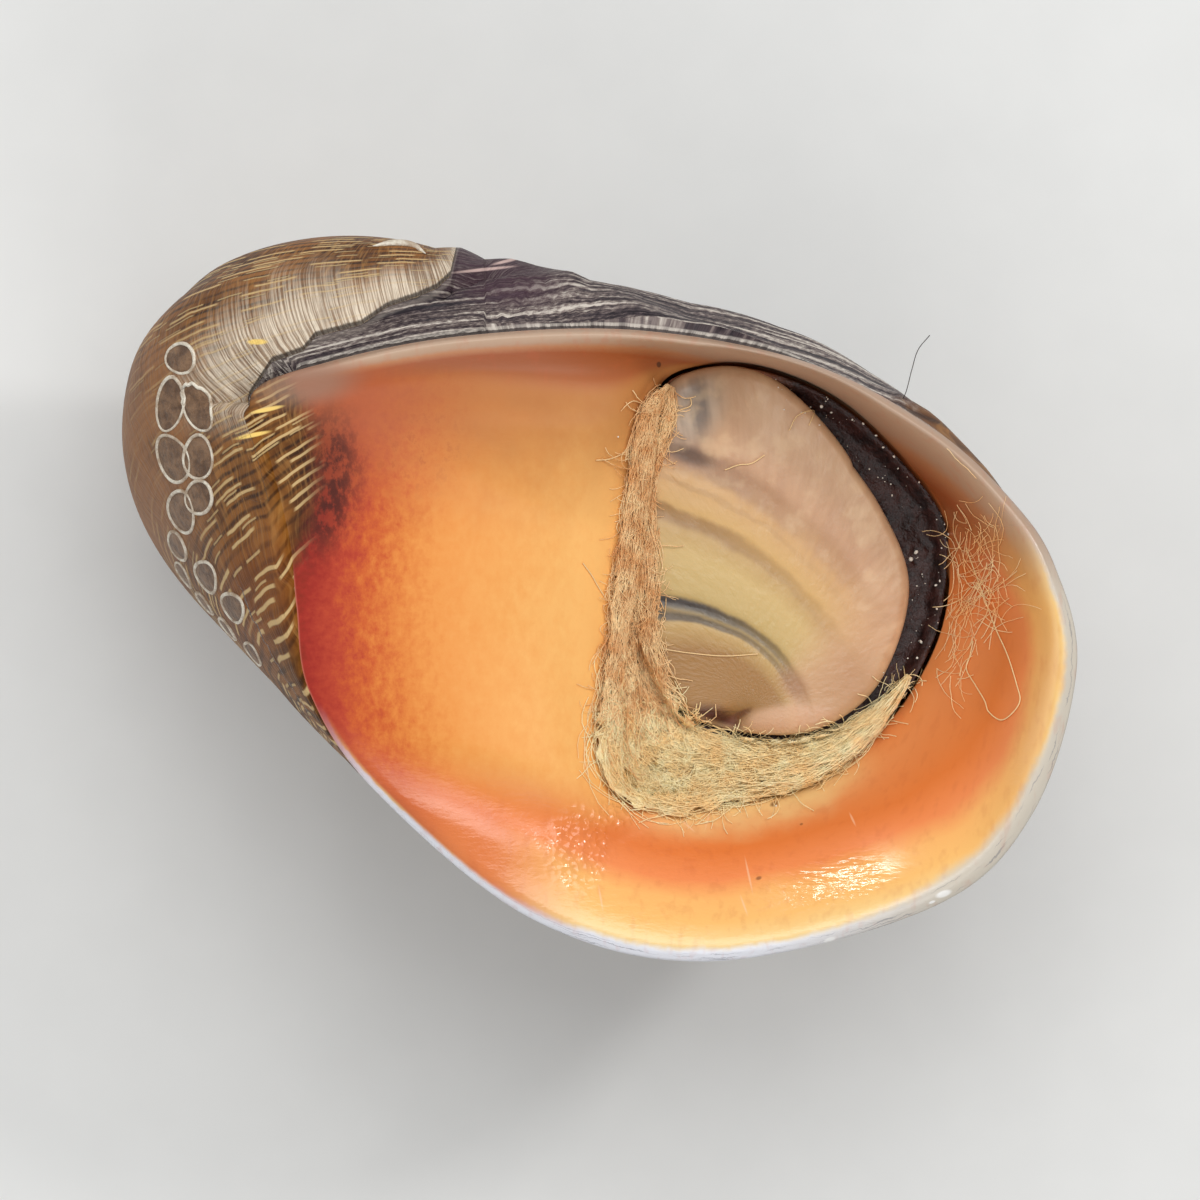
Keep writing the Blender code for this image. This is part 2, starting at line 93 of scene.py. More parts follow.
SPIRAL_POLE = np.array((-5.60, 10.17, -5.67))
SPIRAL_AXIS = np.array((0.157, 1.0, -0.365)) / np.linalg.norm((0.157, 1.0, -0.365))
WHORL_EXPANSION = 7.5
TURNS = 2.25
OLDER_FROM = math.radians(165.0)
SHOULDER = 2.15
SHOULDER_CENTRE = 1.8
SHOULDER_REACH = 13.7
SHOULDER_TURN = math.radians(15.8)
UPPER_CHORD = ((-10.5, 6.2), (13.2, 2.2))
BASE_TOP = 6.0
DOME_MIDDLE = np.array((0.5, 0.25, 0.0))
DOME_TURN = math.radians(-25.0)
DOME_HALF = np.array((13.8, 8.75, 16.2))
DOME_BLEND = 0.6
DOME_TOP = np.array((0.0, 0.0, -0.4))
DOME_TOP_NORMAL = np.array((-0.3, 0.0, 1.0)) / np.linalg.norm((-0.3, 0.0, 1.0))
DOME_TOP_ROUND = 2.5
SHELL_CENTRE = np.array((0.0, 0.0, -6.5))
LIP_OUTLINE = (
    (14.45, -2.1), (13.8, 1.0), (12.5, 3.0), (10.1, 5.2), (6.3, 7.2), (1.1, 8.18),
    (-4.2, 8.0), (-8.3, 7.2), (-10.55, 6.25), (-10.0, 4.3), (-9.4, 1.8), (-9.2, -0.2),
    (-8.8, -2.8), (-6.8, -5.8), (-2.0, -9.7), (3.4, -10.95), (10.1, -9.3), (13.1, -6.5),
)
LIP_INSERTION = 8
LIP_BEFORE = 14.0
PATTERN_AXIS = np.array((0.0, 1.0, -0.26)) / np.linalg.norm((0.0, 1.0, -0.26))
MOUTH_OUTLINE = (
    (10.65, 1.0), (10.35, 2.9), (7.8, 5.7), (5.4, 6.95), (3.3, 7.15), (1.75, 6.4),
    (1.3, 3.6), (0.9, 0.8), (0.5, -1.6), (0.4, -4.0), (0.8, -5.9), (3.2, -6.05),
    (6.2, -5.5), (8.6, -3.9), (10.2, -1.4),
)
MOUTH_CENTRE = np.array((4.85, 0.3))

# The operculum and its growth lines, which run from the left edge round to the nucleus
OPERCULUM_OUTLINE = (
    (9.4, 0.3), (8.6, 2.7), (6.9, 5.0), (5.2, 6.5), (3.6, 6.8), (2.2, 6.2),
    (1.95, 4.6), (1.5, 2.2), (1.3, 0.8), (1.75, -1.6), (2.6, -3.4), (4.6, -4.05),
    (6.7, -3.9), (8.5, -2.5),
)
OPERCULUM_CENTRE = np.array((5.3, 1.2))
OPERCULUM_LEFT = 1.3
OPERCULUM_HEIGHT_LEFT = -3.25
OPERCULUM_SLOPE = -0.13
OPERCULUM_THICKNESS = 0.6
NUCLEUS = np.array((4.48, -3.39))

FOOT_DEPTH = 2.2

EGG_CASES = (
    (-12.75, 7.33, 0.85, 0.91, 0), (-13.05, 5.94, 0.82, 1.63, -5), (-12.22, 5.85, 0.82, 1.57, 3),
    (-12.97, 4.28, 0.9, 1.5, 22), (-12.19, 4.32, 0.88, 1.33, 0), (-12.72, 2.67, 0.9, 1.3, 10),
    (-12.19, 3.1, 0.8, 1.0, 0), (-12.85, 1.63, 0.8, 0.95, 10), (-11.97, 0.7, 0.94, 1.03, 0),
    (-12.68, 0.78, 0.7, 0.9, 10), (-11.15, -0.24, 0.95, 0.95, 0), (-12.03, -0.09, 0.8, 0.8, 15),
    (-11.33, -0.86, 0.8, 0.8, 15), (-10.55, -1.63, 0.76, 0.8, 20),
)

# An egg case seen edge on at the very top
TOP_ARC = ((-6.9, 10.72), (-6.3, 10.8), (-5.7, 10.74), (-5.3, 10.5))

# The dried crust: middle line of its run from the top, each point with its half width
CRUST_PATH = (
    (2.15, 6.5, 0.1), (1.85, 5.95, 0.4), (1.65, 5.3, 0.46), (1.45, 4.6, 0.42), (1.3, 3.8, 0.36),
    (1.2, 3.0, 0.38), (1.15, 2.1, 0.46), (1.12, 1.2, 0.54), (1.05, 0.3, 0.6), (1.0, -0.6, 0.62),
    (1.0, -1.5, 0.7), (1.05, -2.5, 0.9), (1.2, -3.5, 1.2), (1.5, -4.6, 1.5), (2.5, -5.15, 1.32),
    (3.7, -5.15, 1.0), (4.9, -5.15, 0.78), (6.1, -4.95, 0.66), (7.2, -4.5, 0.52), (8.1, -3.85, 0.36),
    (8.9, -3.0, 0.2), (9.4, -2.3, 0.06),
)
CRUST_THICKNESS = 0.34

# Loose strands, each a run of places seen from above
LOOSE_STRANDS = (
    ((-0.12, 4.24), (0.3, 4.28), (0.8, 4.5), (1.21, 4.85)),
    ((-0.52, 1.12), (-0.25, 0.75), (-0.05, 0.4), (0.21, 0.0)),
    ((2.06, 5.5), (2.4, 5.75), (2.75, 5.9), (2.75, 6.15)),
    ((3.8, 3.95), (4.2, 4.1), (4.6, 4.15), (5.0, 4.4)),
    ((1.85, -1.48), (2.8, -1.62), (3.8, -1.7), (4.8, -1.64)),
    ((5.75, 5.15), (6.0, 5.6), (6.5, 5.75), (6.35, 5.3)),
)
LIP_LOOP = (
    (11.12, 1.58), (11.67, 0.06), (12.0, -0.85), (12.36, -1.67), (12.64, -2.58), (12.73, -3.06),
    (12.48, -3.45), (12.15, -3.64), (11.79, -3.39), (11.67, -3.06), (11.39, -2.58), (11.12, -2.09),
    (11.24, -1.67), (11.33, -1.24),
)
DARK_HAIR = ((8.9, 5.75), (9.24, 6.21), (9.45, 6.97), (9.64, 7.58), (10.0, 8.03))
BRIGHT_GRAINS = (
    (9.45, 1.24, 0.2), (9.61, 1.45, 0.14), (6.73, 5.88, 0.11), (7.03, 5.7, 0.08), (7.67, 5.48, 0.07),
    (8.0, 5.36, 0.09), (8.39, 5.0, 0.08), (8.61, 4.64, 0.08), (8.94, 4.36, 0.09), (8.45, 3.73, 0.06),
    (8.88, 3.18, 0.07), (9.06, 4.0, 0.06), (9.7, 3.58, 0.07), (10.58, 2.0, 0.08), (10.21, 0.45, 0.1),
    (10.33, 0.58, 0.08), (10.24, -0.27, 0.07), (9.76, -1.27, 0.12), (9.64, -1.76, 0.09),
    (9.33, -2.42, 0.07), (0.55, 4.95, 0.05), (5.35, -6.25, 0.07),
)

# Mesh steps
COLUMNS = 480
OUTER_ROWS = 124
FACE_ROWS = 52
RIM_ROWS = 8
CAVITY_ROWS = 14
RING_STEP = math.radians(1.0)
LIP_STEPS = 420
HAIR_POINTS = 11
FAR = 60.0

# View
VIEW_WIDTH = 1200.0 / 33.0
CAMERA_HEIGHT = 1.5


def blend(low, high, part):
    return low + (high - low) * part


def smooth_step(value, low, high):
    part = np.clip((value - low) / (high - low), 0.0, 1.0)
    return part * part * (3.0 - 2.0 * part)


def curve_part(before, first, second, after, part):
    """The place a part of the way from the first point to the second, on a smooth curve."""
    square = part * part
    cube = square * part
    return (
        first * (2.0 * cube - 3.0 * square + 1.0) + (second - before) * (0.5 * (cube - 2.0 * square + part))
        + second * (3.0 * square - 2.0 * cube) + (after - first) * (0.5 * (cube - square))
    )


def closed_curve(points, count):
    """Points of a smooth closed curve through the given ones."""
    corners = np.array(points, float)
    place = np.arange(count) * len(corners) / count
    start = place.astype(int)
    around = (corners[(start + step) % len(corners)] for step in (-1, 0, 1, 2))
    return curve_part(*around, (place - start)[:, None])


def open_curve(points, count):
    """Points of a smooth open curve through the given ones, of two or three numbers each."""
    corners = np.array(points, float)
    corners = np.vstack((2.0 * corners[0] - corners[1], corners, 2.0 * corners[-1] - corners[-2]))
    place = np.linspace(0.0, len(points) - 1 - 1e-9, count)
    start = place.astype(int)
    return curve_part(*(corners[start + step] for step in range(4)), (place - start)[:, None])


def rested(x, y, z):
    """A place of the mouth frame on the resting shell, in metres."""
    return (Vector((x, y, z)) + Vector(REST_SHIFT)) * MM


def ways_along(path):
    """The direction of a path at each of its points."""
    way = np.gradient(path[:, :2], axis=0)
    return way / np.linalg.norm(way, axis=1)[:, None]


def points_tree(points):
    """A tree that finds the nearest of some points."""
    tree = KDTree(len(points))
    for index, place in enumerate(points):
        tree.insert(place, index)
    tree.balance()
    return tree


def polar_reach(points, centre, angles):
    """Distances from a centre to a closed outline at some angles."""
    arms = closed_curve(points, 3000) - centre
    turn = np.arctan2(arms[:, 1], arms[:, 0])
    order = np.argsort(turn)
    reach = np.hypot(arms[:, 0], arms[:, 1])[order]
    return np.interp(angles, turn[order], reach, period=math.tau)


def shoulder_weight(lip):
    """How much of the shoulder the points of the lip take: the upper lip only."""
    (left_x, left_y), (right_x, right_y) = UPPER_CHORD
    chord = left_y + (right_y - left_y) * (lip[:, 0] - left_x) / (right_x - left_x)
    along = np.exp(-(((lip[:, 0] - SHOULDER_CENTRE) / SHOULDER_REACH) ** 2))
    return along * smooth_step(lip[:, 1] - chord, -0.3, 1.2)


def whorl_points(angles):
    """The lip as it was at each angle of growth ago: rings of points."""
    lip = closed_curve(LIP_OUTLINE, LIP_STEPS)
    angle = angles[:, None]
    lift = SHOULDER * shoulder_weight(lip)[None, :] * smooth_step(angle, 0.0, SHOULDER_TURN)
    arms = np.empty((len(angles), LIP_STEPS, 3))
    arms[..., 0] = lip[:, 0]
    arms[..., 1] = lip[:, 1] + lift
    arms[..., 2] = 0.0
    arms -= SPIRAL_POLE
    turn = angle[..., None]
    along = (arms @ SPIRAL_AXIS)[..., None]
    turned = (
        arms * np.cos(turn)
        + np.cross(SPIRAL_AXIS, arms) * np.sin(turn)
        + SPIRAL_AXIS * along * (1.0 - np.cos(turn))
    )
    return SPIRAL_POLE + WHORL_EXPANSION ** (-turn / math.tau) * turned


def whorl_faces(rings):
    ring, step = np.meshgrid(np.arange(rings - 1), np.arange(LIP_STEPS), indexing="ij")
    low = ring * LIP_STEPS
    after = (step + 1) % LIP_STEPS
    faces = np.stack((low + step, low + after, low + after + LIP_STEPS, low + step + LIP_STEPS), -1)
    return faces.reshape(-1, 4)


def smooth_most(first, second, width):
    overlap = np.maximum(width - np.abs(first - second), 0.0)
    return np.maximum(first, second) + overlap * overlap / (4.0 * width)


def dome_reach(ways):
    """Distance from the shell's centre to the rounded back, along each of many directions."""
    cos, sin = math.cos(-DOME_TURN), math.sin(-DOME_TURN)
    turn = np.array(((cos, -sin, 0.0), (sin, cos, 0.0), (0.0, 0.0, 1.0)))
    start = turn @ (SHELL_CENTRE - DOME_MIDDLE) / DOME_HALF
    ray = ways @ turn.T / DOME_HALF
    square = (ray * ray).sum(-1)
    cross = ray @ start
    reach = (np.sqrt(cross * cross - square * (start @ start - 1.0)) - cross) / square
    rise = ways @ DOME_TOP_NORMAL
    top = (DOME_TOP - SHELL_CENTRE) @ DOME_TOP_NORMAL / np.maximum(rise, 1e-6)
    return np.where(rise > 0.0, -smooth_most(-reach, -top, DOME_TOP_ROUND), reach)


class OuterForm:
    """The outside of the shell, found by rays cast at its centre."""

    def __init__(self):
        angles = np.arange(0.0, TURNS * math.tau, RING_STEP)
        points = whorl_points(angles)
        self.rings = points.reshape(-1, 3)
        self.faces = whorl_faces(len(angles))
        self.whorls = BVHTree.FromPolygons(self.rings.tolist(), self.faces.tolist())
        older = int(OLDER_FROM / RING_STEP)
        self.older = BVHTree.FromPolygons(
            points[older:].reshape(-1, 3).tolist(), whorl_faces(len(angles) - older).tolist()
        )
        hull = bmesh.new()
        for point in self.rings[::7]:
            if point[1] < BASE_TOP:
                hull.verts.new(point)
        bmesh.ops.convex_hull(hull, input=hull.verts)
        self.base = BVHTree.FromBMesh(hull)
        hull.free()
        lip = closed_curve(LIP_OUTLINE, LIP_STEPS)
        steps = np.linalg.norm(np.roll(lip, -1, 0) - lip, axis=1)
        length = np.concatenate(((0.0,), np.cumsum(steps)))
        insertion = round(LIP_INSERTION * LIP_STEPS / len(LIP_OUTLINE))
        self.lip_length = length[-1]
        self.lip_place = length[insertion] - length

    def cast(self, ways):
        """Reach along each direction, with the growth angle and the place on the lip it meets."""
        reach = np.zeros(len(ways))
        bare = np.zeros(len(ways))
        face = np.zeros(len(ways), int)
        hits = np.zeros((len(ways), 3))
        for index, way in enumerate(ways.tolist()):
            way = Vector(way)
            start = Vector(SHELL_CENTRE) + way * FAR
            place, _, found, distance = self.whorls.ray_cast(start, -way)
            if place is not None:
                reach[index] = FAR - distance
                face[index] = found
                hits[index] = place
            bare[index] = reach[index]
            place, _, _, distance = self.base.ray_cast(start, -way)
            if place is not None:
                reach[index] = max(reach[index], FAR - distance)
        corners = self.rings[self.faces[face]]
        ring_way = corners[:, 3] - corners[:, 0]
        lip_way = corners[:, 1] - corners[:, 0]
        arm = hits - corners[:, 0]
        ring_part = (arm * ring_way).sum(-1) / np.maximum((ring_way * ring_way).sum(-1), 1e-9)
        lip_part = (arm * lip_way).sum(-1) / np.maximum((lip_way * lip_way).sum(-1), 1e-9)
        ring, step = np.divmod(face, LIP_STEPS)
        growth = (ring + np.clip(ring_part, 0.0, 1.0)) * RING_STEP
        part = np.clip(lip_part, 0.0, 1.0)
        place = blend(self.lip_place[step], self.lip_place[step + 1], part)
        place = (place + LIP_BEFORE) % self.lip_length - LIP_BEFORE
        return reach, growth, place, bare

    def reach(self, ways):
        """The reach of the finished outside, rounded back included."""
        reach, growth, place, bare = self.cast(ways)
        reach = smooth_most(reach, dome_reach(ways), DOME_BLEND)
        return reach, growth, place, bare > reach - 0.25

    def held_in(self, points, wall):
        """Points drawn towards the centre where they would leave too thin a wall."""
        arms = points - SHELL_CENTRE
        length = np.linalg.norm(arms, axis=-1)
        ways = arms / length[:, None]
        limit = self.reach(ways)[0] - wall
        return SHELL_CENTRE + ways * np.minimum(length, limit)[:, None]

    def older_height(self, places, default):
        heights = np.full(len(places), default)
        for index, place in enumerate(places.tolist()):
            hit = self.older.ray_cast(Vector((*place, FAR)), DOWN)[0]
            if hit is not None:
                heights[index] = max(hit.z, default)
        return heights


def fan_ways(first, count):
    """Directions that swing from each first one round to the back: all but the ends."""
    back = np.array((0.0, 0.0, -1.0))
    swing = np.arccos(np.clip(first @ back, -1.0, 1.0))[:, None, None]
    part = (np.arange(1, count) / count)[None, :, None]
    ways = np.sin((1.0 - part) * swing) * first[:, None, :] + np.sin(part * swing) * back
    return ways / np.sin(swing)


def deck_share(angles, inward, upper=(134.0, 88.0, 36.0), lower=(212.0, 256.0, 22.0)):
    """1 on the flat inner deck and 0 on the outer lip: each bound in degrees, at the lip and inside."""
    start = np.radians(blend(*upper[:2], inward))
    end = np.radians(blend(*lower[:2], inward))
    above = smooth_step(angles, start, start + math.radians(upper[2]))
    return np.minimum(above, 1.0 - smooth_step(angles, end - math.radians(lower[2]), end))


def deck_colour_share(angles, inward):
    """Where the deck's own colours end: close to its form, but with crisper bounds."""
    return deck_share(angles, inward, (150.0, 96.0, 10.0), (209.0, 250.0, 16.0))


def column_angles(count):
    """Angles round the mouth, closer together where the shell reaches further out."""
    dense = np.linspace(0.0, math.tau, 4000)
    weight = polar_reach(LIP_OUTLINE, MOUTH_CENTRE, dense) + 5.0 * np.maximum(-np.cos(dense), 0.0)
    total = np.concatenate(((0.0,), np.cumsum(weight[1:] + weight[:-1])))
    return np.interp(np.arange(count) / count * total[-1], total, dense)


def face_inwards(rim_part):
    """Steps across the face of the mouth, from its edge in: rim first, then the rest."""
    rim = rim_part[:, None] * np.linspace(0.0, 1.0, RIM_ROWS + 1)[None, :] ** 1.3
    part = np.linspace(0.0, 1.0, FACE_ROWS + 1)[1:]
    rest = rim_part[:, None] + (1.0 - rim_part[:, None]) * (1.0 - (1.0 - part) ** 1.15)[None, :]
    return np.concatenate((rim, rest), axis=1)


def skin_mesh(name, grid, first_pole, last_pole, columns):
    """A closed skin over a grid of columns, each a run of rows between two poles."""
    count, rows = grid.shape[:2]
    points = np.vstack((grid.reshape(-1, 3), first_pole, last_pole))
    column, row = np.meshgrid(np.arange(count), np.arange(rows - 1), indexing="ij")
    after = (column + 1) % count
    quads = np.stack(
        (column * rows + row, after * rows + row, after * rows + row + 1, column * rows + row + 1), -1
    ).reshape(-1, 4)
    around = np.arange(count)
    beyond = (around + 1) % count
    total = count * rows
    start = np.stack((np.full(count, total), beyond * rows, around * rows), -1)
    end = np.stack((np.full(count, total + 1), around * rows + rows - 1, beyond * rows + rows - 1), -1)
    mesh = bpy.data.meshes.new(name)
    mesh.from_pydata(
        ((points + REST_SHIFT) * MM).tolist(), [], quads.tolist() + start.tolist() + end.tolist()
    )
    for label, values in columns.items():
        layer = mesh.attributes.new(label, "FLOAT", "POINT")
        layer.data.foreach_set("value", np.asarray(values, np.float32))
    mesh.shade_smooth()
    return mesh


def place_piece(name, mesh, finish, replaces=None):
    """Puts a finished mesh in the scene as a piece of the shell."""
    piece = bpy.data.objects.new(name, mesh)
    bpy.context.scene.collection.objects.link(piece)
    mesh.materials.clear()
    mesh.materials.append(finish)
    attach(piece, "root")
    if replaces:
        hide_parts(replaces)
    return piece


def suture_distance(outer, growth, bare):
    """How far each place outside is from a seam between whorls: positive on the younger whorl."""
    growth = np.degrees(growth).reshape(outer.shape[:2])
    bare = bare.reshape(outer.shape[:2])
    seams, means = [], []
    for axis in (0, 1):
        beyond = np.roll(growth, -1, axis)
        jump = (np.abs(beyond - growth) > 60.0) & bare & np.roll(bare, -1, axis)
        if axis:
            jump[:, -1] = False
        middle = 0.5 * (outer + np.roll(outer, -1, axis))
        seams += middle[jump].tolist()
        means += (0.5 * (beyond + growth))[jump].tolist()
    tree = points_tree(seams)
    result = []
    for point, value in zip(outer.reshape(-1, 3).tolist(), growth.reshape(-1).tolist()):
        _, index, distance = tree.find(point)
        result.append(min(distance, 9.0) * (1.0 if value < means[index] else -1.0))
    return np.array(result)


def seam_beside_lip(outer, growth, suture):
    """Sets the distance to the seam where the lip starts, a stretch too short to find by growth."""
    points = outer.reshape(-1, 3)
    near = (points[:, 0] > -14.8) & (points[:, 0] < -5.9) & (points[:, 1] > 3.0) & (points[:, 2] > -7.0)
    x, y = points[near, 0], points[near, 1]
    gaps = np.linalg.norm(points[near][:, None, :2] - open_curve(SEAM_RUN, 200), axis=-1).min(-1)
    young = (x > -10.6) & (y > 6.0) & (y < np.interp(x, *np.transpose(SEAM_RUN)))
    growth, suture = growth.copy(), suture.copy()
    growth[near] = np.maximum(growth[near], 3.6)
    suture[near] = np.where(young, gaps, -gaps)
    return growth, suture


def off_corner(outer, corner):
    """How far each place outside is from the corner of the lip."""
    beyond = np.roll(corner, -1, 0)
    fine = np.concatenate([blend(corner, beyond, part) for part in (0.0, 0.25, 0.5, 0.75)])
    tree = points_tree(fine.tolist())
    return np.array([min(tree.find(place)[2], 9.0) for place in outer.reshape(-1, 3).tolist()])


def build_shell_mesh():
    """The shell's mesh, and for each of its faces whether it lies in the mouth or inside."""
    form = OuterForm()
    angles = column_angles(COLUMNS)
    turns = angles[:, None]
    lip = polar_reach(LIP_OUTLINE, MOUTH_CENTRE, angles)
    width = lip - polar_reach(MOUTH_OUTLINE, MOUTH_CENTRE, angles)
    outwards = np.stack((np.cos(angles), np.sin(angles)), -1)
    rim = blend(RIM_WIDTH_BASE, RIM_WIDTH_TOP, smooth_step(outwards[:, 1], -0.3, 0.6))
    rim_part = np.minimum(rim / width, 0.6)
    margin = form.older_height(MOUTH_CENTRE + outwards * lip[:, None], -RIM_ROUND)[:, None]
    inward = face_inwards(rim_part)
    crest = 0.45 * rim_part[:, None]
    from_lip = inward * width[:, None]
    share = deck_share(turns, inward)
    fall = np.clip((inward - crest) / (1.0 - crest), 0.0, 1.0)
    shallow = blend(0.45, 1.0, smooth_step(turns, math.radians(222.0), math.radians(285.0)))
    shallow = np.where(turns < math.pi, 1.0, shallow)
    lip_side = np.where(
        inward < crest, -RIM_ROUND * (1.0 - inward / crest) ** 2, -LIP_DEPTH * shallow * fall ** 1.35
    )
    swell = DECK_SWELL * np.sin(math.pi * np.minimum(1.2 * inward, 1.0))
    deck_side = margin * (1.0 - inward) ** 2 + swell - COLUMELLA_DEPTH * inward ** 4
    face = np.empty((*inward.shape, 3))
    face[..., :2] = MOUTH_CENTRE + outwards[:, None, :] * (lip[:, None] - from_lip)[..., None]
    under_lip = smooth_step(face[..., 1] + 0.12 * face[..., 0], 1.5, 7.0)
    under_lip *= smooth_step(face[..., 0], -9.6, -5.0)
    from_edge = smooth_step(from_lip, 0.4, 1.7)
    deck_side -= UNDER_LIP_DEPTH * under_lip * from_edge * (1.0 - smooth_step(inward, 0.8, 1.0))
    face[..., 2] = blend(lip_side, deck_side, share)
    run = open_curve(FOLD_RUN, 160)
    run_part = np.minimum(np.arange(160), np.arange(160)[::-1]) / 40.0
    gaps = np.linalg.norm(face[..., None, :2] - run, axis=-1)
    nearest = gaps.argmin(-1)
    strength = np.clip(run_part[nearest], 0.0, 1.0)
    face[..., 2] += FOLD_HEIGHT * strength * np.exp(-((gaps.min(-1) / FOLD_WIDTH) ** 2))

    corner, edge = face[:, 0], face[:, -1]
    first = corner - SHELL_CENTRE
    first /= np.linalg.norm(first, axis=1)[:, None]
    ways = fan_ways(first, OUTER_ROWS)
    reach, growth, place, bare = form.reach(ways.reshape(-1, 3))
    outer = SHELL_CENTRE + ways * reach.reshape(ways.shape[:2])[..., None]
    swollen = np.interp(outer[..., 0], *np.transpose(SHOULDER_SWELL))
    swollen *= smooth_step(outer[..., 1] + 0.55 * np.maximum(outer[..., 0] - 1.0, 0.0), 8.6, 9.6)
    swollen *= smooth_step(np.linalg.norm(outer - corner[:, None], axis=-1), 0.1, 1.0)
    outer[..., 1] += swollen * smooth_step(outer[..., 2], -8.0, -3.0)

    drop = edge + np.column_stack((0.12 * outwards, np.full(COLUMNS, -DECK_EDGE)))
    under = form.held_in(drop, WALL)
    edge_share = deck_share(angles, np.ones(COLUMNS))[:, None]
    lip_top = np.column_stack((edge[:, :2], np.full(COLUMNS, -LIP_DEPTH - LIP_THICKNESS)))
    deck_top = np.column_stack((corner[:, :2], np.full(COLUMNS, -DECK_THICKNESS)))
    toward = blend(lip_top, deck_top, edge_share) - SHELL_CENTRE
    toward /= np.linalg.norm(toward, axis=1)[:, None]
    top = SHELL_CENTRE + toward * (form.reach(toward)[0] - WALL)[:, None]
    inner_ways = fan_ways(toward, CAVITY_ROWS)
    inner_reach = form.reach(inner_ways.reshape(-1, 3))[0].reshape(inner_ways.shape[:2]) - WALL
    cavity = SHELL_CENTRE + inner_ways * inner_reach[..., None]
    underside = np.stack([under, blend(under, top, 0.33), blend(under, top, 0.67), top], axis=1)

    grid = np.concatenate((outer[:, ::-1], face, underside, cavity), axis=1)
    back = np.array(((0.0, 0.0, -1.0),))
    back_reach = form.reach(back)[0][0]
    floor = -REST_SHIFT[2]
    first_pole = np.array((0.0, 0.0, max(SHELL_CENTRE[2] - back_reach, floor)))
    last_pole = np.array((0.0, 0.0, SHELL_CENTRE[2] - back_reach + WALL))
    grid[..., 2] = np.maximum(grid[..., 2], floor)

    outer_rows = ways.shape[1]
    inside_rows = underside.shape[1] + cavity.shape[1]
    suture = suture_distance(outer, growth, bare)
    growth, suture = seam_beside_lip(outer, growth, suture)
    size = WHORL_EXPANSION ** (-growth / math.tau)

    def with_rest(values, on_face, inside):
        values = values.reshape(COLUMNS, outer_rows)[:, ::-1]
        on_face = np.broadcast_to(on_face, (COLUMNS, face.shape[1]))
        filler = np.full((COLUMNS, inside_rows), inside)
        flat = np.concatenate((values, on_face, filler), axis=1).reshape(-1)
        return np.concatenate((flat, (values[:, 0].mean(), inside)))

    none = np.zeros(len(growth))
    degrees, across = np.degrees(growth), place * size
    columns = {
        "growth": with_rest(degrees, degrees.reshape(COLUMNS, outer_rows)[:, :1], 0.0),
        "across": with_rest(across, across.reshape(COLUMNS, outer_rows)[:, :1], 0.0),
        "suture": with_rest(suture, 9.0, 9.0),
        "off_lip": with_rest(off_corner(outer, corner), -from_lip, -9.0),
        "lip_edge": with_rest(none, from_lip, 9.0),
        "mouth_edge": with_rest(none + 9.0, (1.0 - inward) * width[:, None], 0.0),
        "deck": with_rest(none, deck_colour_share(turns, inward), 0.0),
    }
    within = np.tile(np.arange(grid.shape[1] - 1) >= outer_rows, COLUMNS)
    within = np.concatenate((within, np.zeros(COLUMNS, bool), np.ones(COLUMNS, bool)))
    return skin_mesh("shell_skin", grid, first_pole, last_pole, columns), within.astype(np.int32)


def shade(red, green, blue):
    """A colour given in steps of 0 to 255 as the eye sees them, for a shader."""
    parts = (part / 255.0 for part in (red, green, blue))
    return (*(part / 12.92 if part <= 0.04045 else ((part + 0.055) / 1.055) ** 2.4 for part in parts), 1.0)


def is_shade(value):
    """Whether a value is a colour in steps of 0 to 255."""
    return isinstance(value, tuple) and len(value) == 3 and all(isinstance(part, int) for part in value)


class Wire:
    """A number, colour or vector that runs from one node of a finish to the next."""

    def __init__(self, paint, socket):
        self.paint = paint
        self.socket = socket

    def __rsub__(self, other):
        return self.paint.math("SUBTRACT", other, self)

    def rise(self, low, high, start=0.0, end=1.0):
        """Smoothly from start to end as the value goes from low to high."""
        inputs = {"Value": self, 1: low, 2: high, 3: start, 4: end}
        return self.paint.add("ShaderNodeMapRange", inputs, interpolation_type="SMOOTHSTEP")

    def fall(self, low, high):
        return self.rise(low, high, 1.0, 0.0)

    def tint(self, low, high):
        """From the first colour to the second as the value goes from 0 to 1."""
        return self.paint.add("ShaderNodeMix", {0: self, 6: low, 7: high}, 2, data_type="RGBA")


def wire_math(operation):
    """A method that sends a value, and mostly another one, through one sum."""
    return lambda wire, other=0.0: wire.paint.math(operation, wire, other)


for label, operation in {
    "__add__": "ADD", "__radd__": "ADD", "__sub__": "SUBTRACT", "__mul__": "MULTIPLY",
    "__rmul__": "MULTIPLY", "__truediv__": "DIVIDE", "most": "MAXIMUM", "least": "MINIMUM",
    "size": "ABSOLUTE", "fraction": "FRACT", "whole": "FLOOR",
}.items():
    setattr(Wire, label, wire_math(operation))


